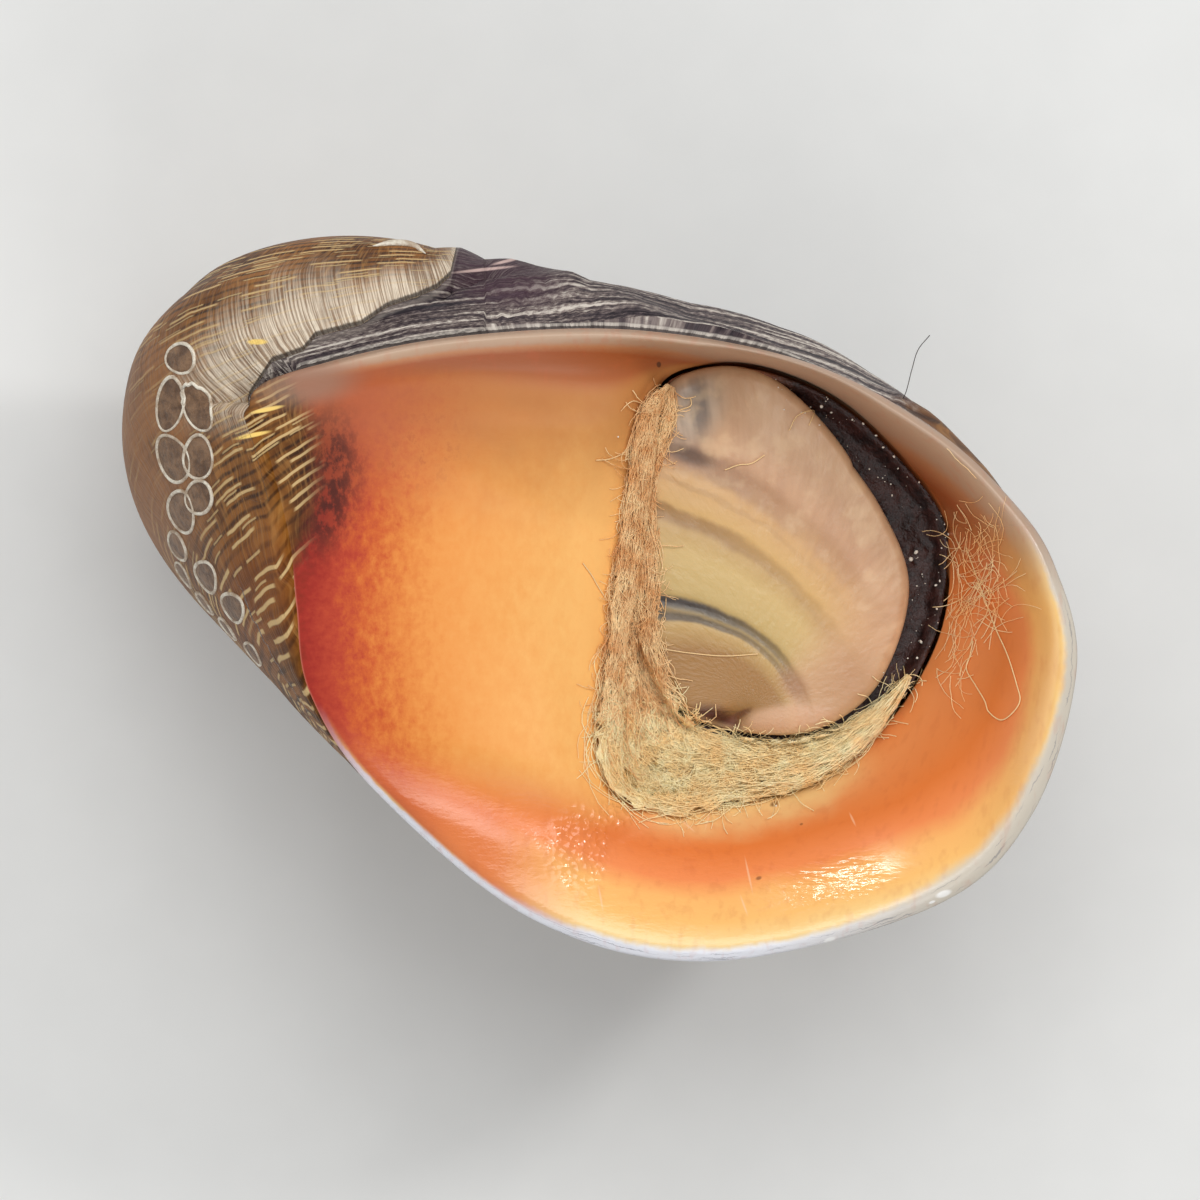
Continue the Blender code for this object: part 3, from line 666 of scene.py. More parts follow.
class Paint:
    """Builds one finish: each call adds a node and gives back what comes out of it."""

    def __init__(self, name):
        self.finish = bpy.data.materials.new(name)
        self.finish.use_nodes = True
        self.tree = self.finish.node_tree
        self.shader = self.tree.nodes["Principled BSDF"]
        place = self.add("ShaderNodeTexCoord", {}, "Object")
        scale = {0: place, "Scale": 1.0 / MM}
        self.place = self.add("ShaderNodeVectorMath", scale, operation="SCALE")
        self.x, self.y, self.z = self.parts(self.place)

    def add(self, kind, inputs, output=0, **settings):
        node = self.tree.nodes.new(kind)
        for key, value in settings.items():
            setattr(node, key, value)
        for key, value in inputs.items():
            self.feed(node.inputs[key], value)
        return Wire(self, node.outputs[output])

    def feed(self, socket, value):
        if isinstance(value, Wire):
            self.tree.links.new(value.socket, socket)
        else:
            socket.default_value = shade(*value) if is_shade(value) else value

    def math(self, operation, first, second):
        return self.add("ShaderNodeMath", {0: first, 1: second}, operation=operation)

    def parts(self, vector):
        node = self.add("ShaderNodeSeparateXYZ", {0: vector}).socket.node
        return [Wire(self, output) for output in node.outputs]

    def vector(self, x=0.0, y=0.0, z=0.0):
        return self.add("ShaderNodeCombineXYZ", {0: x, 1: y, 2: z})

    def vector_math(self, operation, vector, other, output=0):
        return self.add("ShaderNodeVectorMath", {0: vector, 1: other}, output, operation=operation)

    def stretched(self, vector, x, y, z):
        return self.vector_math("MULTIPLY", vector, (x, y, z))

    def dot(self, vector, way):
        return self.vector_math("DOT_PRODUCT", vector, way, "Value")

    def oval(self, x, y, half_x, half_y, lean=0.0):
        """Seen from above: 0 in the middle of an oval that leans by some degrees, 1 at its edge."""
        cos, sin = math.cos(math.radians(lean)), math.sin(math.radians(lean))
        ways = ((cos / half_x, sin / half_x, 0.0), (-sin / half_y, cos / half_y, 0.0))
        middle = [way[0] * x + way[1] * y for way in ways]
        place = self.vector(*(self.dot(self.place, way) for way in ways))
        return self.vector_math("DISTANCE", place, (*middle, 0.0), "Value")

    def attribute(self, name):
        return self.add("ShaderNodeAttribute", {}, "Fac", attribute_name=name)

    def noise(self, vector, scale, detail=2.0, rough=0.5):
        """Soft random values about 0.5."""
        inputs = {"Vector": vector, "Scale": scale, "Detail": detail, "Roughness": rough}
        return self.add("ShaderNodeTexNoise", inputs)

    def chance(self, vector):
        """A random value for each place, the same all over a place with equal numbers."""
        return self.add("ShaderNodeTexWhiteNoise", {"Vector": vector})

    def ramp(self, value, *stops):
        """Colours along a value: each stop is where it is and its colour."""
        output = self.add("ShaderNodeValToRGB", {0: value})
        stops = [(where, shade(*colour) if is_shade(colour) else colour) for where, colour in stops]
        elements = output.socket.node.color_ramp.elements
        for element, (where, colour) in zip(elements, (stops[0], stops[-1])):
            element.position, element.color = where, colour
        for where, colour in stops[1:-1]:
            elements.new(where).color = colour
        return output

    def marked(self, colour, *marks):
        """A colour with marks on it: oval, where it starts and ends to fade, strength, colour."""
        for oval, start, end, strength, mark in marks:
            colour = (self.oval(*oval).fall(start, end) * strength).tint(colour, mark)
        return colour

    def finished(self, colour, roughness, height=None, relief=0.1, **others):
        """Joins colour, roughness and a height in millimetres to the shader."""
        if height is not None:
            inputs = {"Height": height, "Distance": MM, "Strength": relief}
            others["Normal"] = self.add("ShaderNodeBump", inputs)
        for key, value in {"Base_Color": colour, "Roughness": roughness, **others}.items():
            self.feed(self.shader.inputs[key.replace("_", " ")], value)
        return self.finish


def crust_finish(look):
    """Cream felt in the clump at the lower left, thinner and browner up the strip."""
    paint = Paint("crust_paint")
    lumps = paint.noise(paint.place, 2.6, 5.0, 0.65)
    pale = lumps.rise(0.26, 0.5).tint((250, 206, 140), tuple(look.crust_colour))
    thin = lumps.rise(0.4, 0.66).tint((92, 52, 28), (200, 150, 98))
    patch = paint.noise(paint.place, 0.9, 3.0)
    strip = (paint.y + (patch - 0.5) * 3.0).rise(-2.6, -0.6)
    hole = paint.oval(0.95, -0.9, 0.42, 1.5).fall(0.4, 1.2) * lumps.fall(0.45, 0.55)
    colour = (hole * 0.8).tint(strip.tint(pale, thin), (84, 44, 26))
    return paint.finished(colour, 0.8, lumps * 0.3, 0.5)


def foot_finish():
    """Almost black dried foot, painted orange brown at the upper left for the warm shade in the gap under
    the lip.
    """
    paint = Paint("foot_paint")
    lumps = paint.noise(paint.place, 1.6, 5.0, 0.65)
    dark = lumps.rise(0.32, 0.66).tint((26, 11, 9), (62, 32, 26))
    # Painted shade: orange brown at the upper left, for the warm reddish-brown shade in the gap between lip
    # and lid, where the foot would look black
    thin = paint.y.rise(4.0, 5.6) * paint.x.fall(4.2, 6.2)
    return paint.finished(thin.tint(dark, (158, 92, 54)), 0.42, lumps * 0.3, 0.7)


def growth_of_lid(places):
    """Which growth line of the operculum each place lies on: 0 on the dark pair, 1.3 at the rim."""
    arms = places - NUCLEUS
    turn = np.arctan2(arms[..., 1], arms[..., 0])
    reach = np.maximum(np.hypot(arms[..., 0], arms[..., 1]), 0.02)
    return np.log(33.0 * reach) - (4.15 + 0.31 * (turn - 1.0) + 0.275 * (turn - 1.0) ** 2)


def segment_distance(places, first, last):
    """Distance of each place to a straight stretch, and how far along it."""
    first, last = np.array(first), np.array(last)
    way = last - first
    part = np.clip(((places - first) @ way) / (way @ way), 0.0, 1.0)
    return np.linalg.norm(places - (first + part[..., None] * way), axis=-1), part


def lid_height(places):
    return OPERCULUM_HEIGHT_LEFT + OPERCULUM_SLOPE * (places[..., 0] - OPERCULUM_LEFT)


def lid_relief(places, part):
    """Relief of the lid's face: its swell, growth lines, raised curl and the dip beside it."""
    growth = growth_of_lid(places)
    relief = np.broadcast_to(0.1 * (1.0 - part ** 2), growth.shape).copy()
    for line, depth, width in (
        (0.0, 0.07, 0.05), (-0.14, 0.05, 0.05), (0.67, 0.05, 0.07), (1.0, 0.05, 0.07),
    ):
        relief -= depth * np.exp(-(((growth - line) / width) ** 2))
    dip, _ = segment_distance(places, (3.0, -4.1), (4.1, -3.65))
    relief -= 0.42 * np.exp(-((dip / 0.32) ** 2))
    corner = np.linalg.norm(places - np.array((2.7, 6.2)), axis=-1)
    relief += 0.4 * np.exp(-((corner / 1.1) ** 2))
    curl, along = segment_distance(places, (4.66, -3.62), (6.9, -3.5))
    relief += 0.16 * (1.0 - 0.7 * along) * np.exp(-((curl / 0.36) ** 2))
    return relief


def lid_grid(columns, rows):
    """Rows of the operculum from the middle of its underside, round its edge, to its middle."""
    outline = closed_curve(OPERCULUM_OUTLINE, columns)
    parts = np.concatenate(
        ((0.5, 0.8, 0.93, 0.985), (1.0 - np.linspace(0.0, 1.0, rows) ** 1.5)[:-1])
    )
    levels = np.concatenate(((-1.0, -1.0, -1.0, -0.85), np.zeros(rows - 1)))
    arms = outline - OPERCULUM_CENTRE
    turn = np.arctan2(arms[:, 1], arms[:, 0])
    grown = 0.34 * np.maximum(np.cos(turn - math.radians(140.0)), 0.0) ** 0.5
    arms *= (1.0 + grown / np.linalg.norm(arms, axis=1))[:, None]
    places = OPERCULUM_CENTRE + arms[:, None, :] * parts[None, :, None]
    upper = levels >= 0.0
    round_off = 1.0 - np.sqrt(1.0 - np.clip((parts - 0.93) / 0.07, 0.0, 1.0) ** 2)
    top = lid_relief(places, parts[None, :]) - 0.5 * OPERCULUM_THICKNESS * round_off
    height = lid_height(places) + np.where(upper, top, levels * OPERCULUM_THICKNESS)
    return np.concatenate((places, height[..., None]), axis=-1), parts


def build_operculum_mesh():
    grid, parts = lid_grid(260, 90)
    middle = OPERCULUM_CENTRE
    low = np.array((*middle, lid_height(middle) - OPERCULUM_THICKNESS))
    high = np.array((*middle, lid_height(middle) + float(lid_relief(middle, 0.0))))
    edge = np.broadcast_to(parts[None, :], grid.shape[:2]).reshape(-1)
    growth = growth_of_lid(grid[..., :2]).reshape(-1)
    columns = {
        "lid_growth": np.concatenate((growth, growth_of_lid(np.stack((middle, middle))))),
        "lid_part": np.concatenate((edge, (0.0, 0.0))),
    }
    return skin_mesh("operculum_skin", grid, low, high, columns)


def wave(places, size, seed, detail=3):
    """Soft random relief, about -1 to 1, at places in millimetres."""
    flat = places.reshape(-1, places.shape[-1])
    values = [
        noise.fractal(Vector((*place[:3], seed) if len(place) < 3 else place) / size, 1.0, 2.0, detail)
        for place in flat.tolist()
    ]
    return np.array(values).reshape(places.shape[:-1])


def build_foot_mesh():
    arms = closed_curve(MOUTH_OUTLINE, 220) - MOUTH_CENTRE
    arms *= (1.0 - 0.12 / np.linalg.norm(arms, axis=1))[:, None]
    parts = np.concatenate((np.linspace(0.0, 1.0, 60)[1:], (0.97, 0.85, 0.5)))
    downs = np.concatenate((np.zeros(59), (0.3, 0.7, 0.9)))
    places = MOUTH_CENTRE + arms[:, None, :] * parts[None, :, None]
    top = lid_height(places) - OPERCULUM_THICKNESS - 0.12
    turn = np.arctan2(arms[:, 1], arms[:, 0])[:, None]
    folds = np.sin(turn * 37.0 + 3.0 * np.sin(turn * 5.0)) * smooth_step(parts, 0.8, 1.0)[None, :]
    fine = wave(places, 0.5, 4.0)
    rise = 0.55 * smooth_step(parts, 0.9, 1.0)[None, :] + 0.05 * folds + 0.12 * fine
    rise = np.where(downs[None, :] > 0.0, 0.0, rise)
    height = top + rise - downs[None, :] * FOOT_DEPTH
    grid = np.concatenate((places, height[..., None]), axis=-1)[:, ::-1]
    middle_top = float(lid_height(MOUTH_CENTRE)) - OPERCULUM_THICKNESS - 0.12
    low = np.array((*MOUTH_CENTRE, middle_top - FOOT_DEPTH))
    high = np.array((*MOUTH_CENTRE, middle_top))
    return skin_mesh("foot_skin", grid, low, high, {})


def bed_of(trees, places, reach=0.14):
    """Highest surface under each place and just around it, in the mouth frame."""
    turns = np.linspace(0.0, math.tau, 7)[:-1]
    steps = [(0.0, 0.0), *((reach * math.cos(turn), reach * math.sin(turn)) for turn in turns)]
    heights = []
    for x, y in places.reshape(-1, 2).tolist():
        best = -7.0
        for step_x, step_y in steps:
            start = rested(x + step_x, y + step_y, 3.0)
            for tree in trees:
                hit = tree.ray_cast(start, DOWN)[0]
                if hit is not None:
                    best = max(best, hit.z / MM - REST_SHIFT[2])
        heights.append(best)
    return np.array(heights).reshape(places.shape[:-1])


def tree_of(*names):
    """A tree of each of the named pieces, to find places on its surface."""
    trees = []
    for name in names:
        work = bmesh.new()
        work.from_mesh(bpy.data.objects[name].data)
        trees.append(BVHTree.FromBMesh(work))
        work.free()
    return trees


def crust_places(stations, across):
    """Places over the crust: stations along it by steps across it, and the parts across."""
    path = open_curve(CRUST_PATH, stations)
    way = ways_along(path)
    side = np.stack((-way[:, 1], way[:, 0]), -1)
    parts = np.sin(np.linspace(-0.5, 0.5, across) * math.pi)
    ragged = 1.0 + 0.22 * wave(np.stack((path[:, 0], path[:, 1], path[:, 2] * 0.0), -1), 0.35, 1.0)
    half = path[:, 2] * ragged
    places = path[:, None, :2] + side[:, None, :] * (half[:, None] * parts[None, :])[..., None]
    return places, parts


def build_crust_mesh(trees):
    stations, across = 300, 32
    places, parts = crust_places(stations, across)
    bed = bed_of(trees, places, 0.26)
    lumps = wave(np.concatenate((places, places[..., :1] * 0.0), -1), 0.28, 2.0, 4)
    body = np.sqrt(np.maximum(1.0 - parts ** 2, 0.0))[None, :]
    ends = np.minimum(np.arange(stations), np.arange(stations)[::-1]) / 8.0
    body = body * np.clip(ends, 0.0, 1.0)[:, None]
    thick = CRUST_THICKNESS * blend(0.5, 1.0, smooth_step(-places[:, :1, 1], 0.5, 3.5))
    upper = bed + body * thick * (0.75 + 0.6 * lumps)
    lower = bed - 0.12
    top = np.concatenate((places, upper[..., None]), -1)
    under = np.concatenate((places, lower[..., None]), -1)
    loops = np.concatenate((top, under[:, ::-1]), axis=1)
    grid = loops.transpose(1, 0, 2)
    return skin_mesh("crust", grid[::-1], grid[:, 0].mean(0), grid[:, -1].mean(0), {})


def laid_on(tree, x, y, lift=0.0):
    """The place on a surface seen from above at x and y, lifted along its normal."""
    place, normal, _, _ = tree.ray_cast(rested(x, y, 9.0), DOWN)
    if place is None:
        place, normal, _, _ = tree.find_nearest(rested(x, y, -6.0))
    return place + normal * lift * MM


def egg_case_places(tree, part, count, lift):
    """Rings of places on the shell, a part of the way out to the rim of each egg case."""
    runs = []
    for x, y, width, height, lean in EGG_CASES:
        lean = math.radians(lean)
        middle = laid_on(tree, x, y)
        normal = tree.find_nearest(middle)[1]
        run = []
        for step in range(count):
            angle = math.tau * step / count
            squash = part * (1.0 + 0.04 * math.sin(3.0 * angle + x * 9.0))
            flat_x = 0.5 * width * math.cos(angle) * squash
            flat_y = 0.5 * height * math.sin(angle) * squash
            over = flat_x * math.cos(lean) - flat_y * math.sin(lean)
            up = flat_x * math.sin(lean) + flat_y * math.cos(lean)
            down = (normal.x * over + normal.y * up) / max(normal.z, 0.5)
            place, way, _, _ = tree.find_nearest(middle + Vector((over, up, -down)) * MM)
            run.append(place + way * lift * MM)
        runs.append(run)
    return runs


def build_film_mesh(tree):
    """A thin domed film inside the rim of each egg case."""
    steps = 24
    parts = (0.97, 0.85, 0.6, 0.3)
    layers = [egg_case_places(tree, part, steps, 0.05 * (1.0 - part * part) + 0.01) for part in parts]
    points, faces = [], []
    for rings in zip(*layers):
        first = len(points)
        for ring in rings:
            points += [tuple(point) for point in ring]
        for row in range(len(parts) - 1):
            low = first + row * steps
            for step in range(steps):
                after = (step + 1) % steps
                faces.append((low + step, low + after, low + steps + after, low + steps + step))
        low = first + (len(parts) - 1) * steps
        faces.append(tuple(range(low, low + steps)))
    mesh = bpy.data.meshes.new("films")
    mesh.from_pydata(points, [], faces)
    mesh.shade_smooth()
    return mesh


def runs_mesh(name, runs, thickness, closed=False):
    """Lines through runs of points in metres, with a thickness at each point."""
    points, edges, widths = [], [], []
    for run, width in zip(runs, thickness):
        first = len(points)
        points += [tuple(point) for point in run]
        edges += [(first + step, first + step + 1) for step in range(len(run) - 1)]
        if closed:
            edges.append((first + len(run) - 1, first))
        widths += list(np.broadcast_to(width, len(run)))
    mesh = bpy.data.meshes.new(name)
    mesh.from_pydata(points, edges, [])
    layer = mesh.attributes.new("thickness", "FLOAT", "POINT")
    layer.data.foreach_set("value", np.array(widths, np.float32))
    return mesh


def node_group(name, sockets, nodes, modes, links):
    """A geometry node group from the kinds of its nodes, what some are set to, and its links."""
    tree = bpy.data.node_groups.new(name, "GeometryNodeTree")
    for way in ("INPUT", "OUTPUT"):
        tree.interface.new_socket("Geometry", in_out=way, socket_type="NodeSocketGeometry")
    for label, kind in sockets.items():
        tree.interface.new_socket(label, in_out="INPUT", socket_type="NodeSocket" + kind)
    nodes = {"start": "NodeGroupInput", "end": "NodeGroupOutput", **nodes}
    made = {label: tree.nodes.new(kind) for label, kind in nodes.items()}
    for label, (key, value) in modes.items():
        setattr(made[label], key, value)
    made["named"].inputs["Name"].default_value = "thickness"
    for link in links.split(", "):
        source, target = (end.split(".") for end in link.split(" > "))
        first, second = made[source[0]].outputs, made[target[0]].inputs
        second = second[int(target[1]) if target[1].isdigit() else target[1]]
        tree.links.new(first[source[1]], second)
    return tree, made


def strand_tree():
    """Round strands along lines, as thick as each point of the line says."""
    tree, made = node_group(
        "strands", {"Radius": "Float", "Sides": "Int", "Material": "Material"},
        {
            "curve": "GeometryNodeMeshToCurve", "radius": "GeometryNodeSetCurveRadius",
            "sweep": "GeometryNodeCurveToMesh", "named": "GeometryNodeInputNamedAttribute",
            "times": "ShaderNodeMath", "ring": "GeometryNodeCurvePrimitiveCircle",
            "smooth": "GeometryNodeSetShadeSmooth", "paint": "GeometryNodeSetMaterial",
            "real": "GeometryNodeRealizeInstances",
        },
        {"named": ("data_type", "FLOAT"), "times": ("operation", "MULTIPLY")},
        "start.Geometry > curve.Mesh, curve.Curve > radius.Curve, named.Attribute > times.0, "
        "start.Radius > times.1, times.Value > radius.Radius, radius.Curve > sweep.Curve, "
        "start.Sides > ring.Resolution, ring.Curve > sweep.Profile Curve, times.Value > sweep.Scale, "
        "sweep.Mesh > smooth.Geometry, smooth.Geometry > real.Geometry, "
        "real.Geometry > paint.Geometry, start.Material > paint.Material, paint.Geometry > end.Geometry",
    )
    made["ring"].inputs["Radius"].default_value = 1.0
    made["sweep"].inputs["Fill Caps"].default_value = True
    return tree


def grain_tree():
    """A small uneven grain on each point, turned and sized by a seed."""
    tree, made = node_group(
        "grains", {"Size": "Float", "Seed": "Int", "Material": "Material"},
        {
            "ball": "GeometryNodeMeshIcoSphere", "scatter": "GeometryNodeInstanceOnPoints",
            "turn": "FunctionNodeRandomValue", "vary": "FunctionNodeRandomValue",
            "named": "GeometryNodeInputNamedAttribute", "times": "ShaderNodeMath",
            "scaled": "ShaderNodeVectorMath", "paint": "GeometryNodeSetMaterial",
            "real": "GeometryNodeRealizeInstances",
        },
        {
            "named": ("data_type", "FLOAT"), "times": ("operation", "MULTIPLY"),
            "turn": ("data_type", "FLOAT_VECTOR"), "vary": ("data_type", "FLOAT_VECTOR"),
            "scaled": ("operation", "SCALE"),
        },
        "start.Geometry > scatter.Points, ball.Mesh > scatter.Instance, start.Seed > turn.Seed, "
        "start.Seed > vary.Seed, turn.Value > scatter.Rotation, named.Attribute > times.0, "
        "start.Size > times.1, vary.Value > scaled.0, times.Value > scaled.Scale, "
        "scaled.Vector > scatter.Scale, scatter.Instances > real.Geometry, "
        "real.Geometry > paint.Geometry, start.Material > paint.Material, paint.Geometry > end.Geometry",
    )
    ball, turn, vary = (made[label] for label in ("ball", "turn", "vary"))
    ball.inputs["Subdivisions"].default_value = 2
    ball.inputs["Radius"].default_value = 1.0
    turn.inputs["Max"].default_value = (math.tau,) * 3
    vary.inputs["Min"].default_value = (0.6,) * 3
    vary.inputs["Max"].default_value = (1.2,) * 3
    return tree


def grown_by(tree, source, **values):
    """The plain mesh that a geometry node group makes of a source mesh."""
    holder = bpy.data.objects.new(source.name, source)
    bpy.context.scene.collection.objects.link(holder)
    modifier = holder.modifiers.new("nodes", "NODES")
    modifier.node_group = tree
    for item in tree.interface.items_tree:
        if item.in_out == "INPUT" and item.name in values:
            modifier[item.identifier] = values[item.name]
    graph = bpy.context.evaluated_depsgraph_get()
    graph.update()
    made = bpy.data.meshes.new_from_object(holder.evaluated_get(graph))
    bpy.data.objects.remove(holder)
    bpy.data.meshes.remove(source)
    made.name = "made_mesh"
    return made


def strands(name, runs, widths, finish, sides, slot, closed=False):
    """Makes runs of points into a piece of round strands."""
    source = runs_mesh(name + "_runs", runs, widths, closed)
    made = grown_by(strand_tree(), source, Radius=1.0, Sides=sides, Material=finish)
    place_piece(name, made, finish)


def laid_run(trees, places, lift, count):
    """A smooth run of points over a surface, each a little above it."""
    run = []
    for x, y in open_curve(places, count).tolist():
        hit = None
        for tree in trees:
            found = tree.ray_cast(rested(x, y, 3.0), DOWN)[0]
            if found is not None and (hit is None or found.z > hit.z):
                hit = found
        if hit is not None:
            run.append(hit + Vector((0.0, 0.0, lift * MM)))
    return run


def curling(luck, x, y, heading, step, bend, spread):
    """Places of a hair that starts at x and y and turns a little with every step."""
    places = []
    for _ in range(HAIR_POINTS):
        places.append((x, y))
        heading += bend + luck.gauss(0.0, spread)
        x += step * math.cos(heading)
        y += step * math.sin(heading)
    return np.array(places)


def beside_mouth(turn, out):
    """A place at an angle round the mouth, some way outside its edge."""
    reach = float(polar_reach(MOUTH_OUTLINE, MOUTH_CENTRE, np.array((turn,)))[0]) + out
    return MOUTH_CENTRE[0] + reach * math.cos(turn), MOUTH_CENTRE[1] + reach * math.sin(turn)


def crust_fibres(trees, stations, count, thickness, seed):
    """Fine fibres bundled along a stretch of the crust, and a few that curl away from it."""
    luck = random.Random(seed)
    path = open_curve(CRUST_PATH, 400)
    way = ways_along(path)
    numbers = np.arange(400)
    part = np.linspace(0.0, 1.0, HAIR_POINTS)
    weights = (path[:, 2] + 0.12)[stations[0]:stations[1]]
    runs, widths = [], []
    for _ in range(count):
        index = luck.choices(range(*stations), weights)[0]
        x, y, half = path[index].tolist()
        across = luck.uniform(-1.15, 1.15)
        clump = min(max(half - 0.75, 0.0), 0.5)
        if luck.random() < 0.2 + 1.2 * clump:
            heading = math.atan2(way[index, 1], way[index, 0]) + luck.gauss(0.0, 0.7 + 1.4 * clump)
            x -= 0.85 * across * half * way[index, 1]
            y += 0.85 * across * half * way[index, 0]
            step, bend = luck.uniform(0.03, 0.11), luck.gauss(0.0, 0.2)
            places = curling(luck, x, y, heading, step, bend, 0.16)
        else:
            station = index + luck.uniform(12.0, 42.0) * luck.choice((-1.0, 1.0)) * part
            sway = luck.uniform(0.03, 0.16)
            sway = sway * np.sin(luck.uniform(0.0, math.tau) + part * luck.uniform(3.0, 9.0))
            at_x, at_y, at_half, way_x, way_y = (
                np.interp(station, numbers, values) for values in (*path.T, *way.T)
            )
            reach = at_half * (across + luck.gauss(0.0, 0.25) * part + sway) + 0.1 * sway
            places = np.stack((at_x - way_y * reach, at_y + way_x * reach), -1)
        low = 1.0 - clump
        arch = low * luck.uniform(0.0, 0.2) * np.sin(math.pi * part)
        heights = np.maximum(bed_of(trees, places, 0.03), -5.2) + low * luck.uniform(0.0, 0.1) + arch
        places = np.column_stack((places, heights)) + REST_SHIFT
        runs.append([Vector(place) * MM for place in places.tolist()])
        widths.append(luck.uniform(0.6, 1.4) * thickness)
    return runs, widths


def mat_hairs(trees, count, seed):
    """Fine hairs matted on the lip's inner wall at the right of the mouth."""
    luck = random.Random(seed)
    runs, widths = [], []
    for _ in range(count):
        turn = luck.triangular(-0.5, 0.62, 0.1)
        out = luck.triangular(0.2, 2.0, 0.7)
        heading = luck.choice((turn - 1.9, turn + 1.3)) + luck.gauss(0.0, 0.6)
        step = luck.uniform(0.05, 0.16)
        bend = luck.gauss(0.0, 0.1)
        places = curling(luck, *beside_mouth(turn, out - 0.25), heading, step, bend, 0.12)
        heights = bed_of(trees, places, 0.03)
        lift, width = luck.uniform(0.01, 0.1), luck.uniform(0.006, 0.013)
        if np.abs(np.diff(heights)).max() > 0.25:
            continue
        runs.append([rested(*place, height + lift) for place, height in zip(places.tolist(), heights)])
        widths.append(width * MM)
    return runs, widths


def dust_places(count, seed):
    """Small pale specks scattered over the dark tissue."""
    luck = random.Random(seed)
    places = []
    for _ in range(count):
        place = beside_mouth(luck.uniform(-0.7, 1.5), -luck.uniform(0.05, 1.1))
        places.append((*place, luck.uniform(0.02, 0.06)))
    return places


def plain_finish(name, colour, roughness):
    paint = Paint(name)
    grain = paint.noise(paint.place, 0.4, 3.0)
    return paint.finished(grain.tint(colour, tuple(0.94 * part for part in colour)), roughness)


def dashes(paint, rows, along, length, share, seed, half=0.16):
    """Short lines that run the way the shell grew: 1 on them, 0 between."""
    line = rows.whole()
    shift = paint.chance(paint.vector(line, seed, 0.0))
    spot = along / length + shift * 7.0
    cell = spot.whole()
    luck = paint.chance(paint.vector(line, cell, seed + 3.0))
    part = spot.fraction()
    inside = (part - luck * 0.3).rise(0.0, 0.06) * (part - 0.3 * luck).fall(0.62, 0.7)
    middle = (rows.fraction() - (0.35 + 0.3 * luck)).size()
    chosen = paint.chance(paint.vector(cell, line, seed + 9.0)).fall(share - 0.02, share + 0.02)
    return inside * middle.fall(half * 0.6, half * 1.3) * chosen


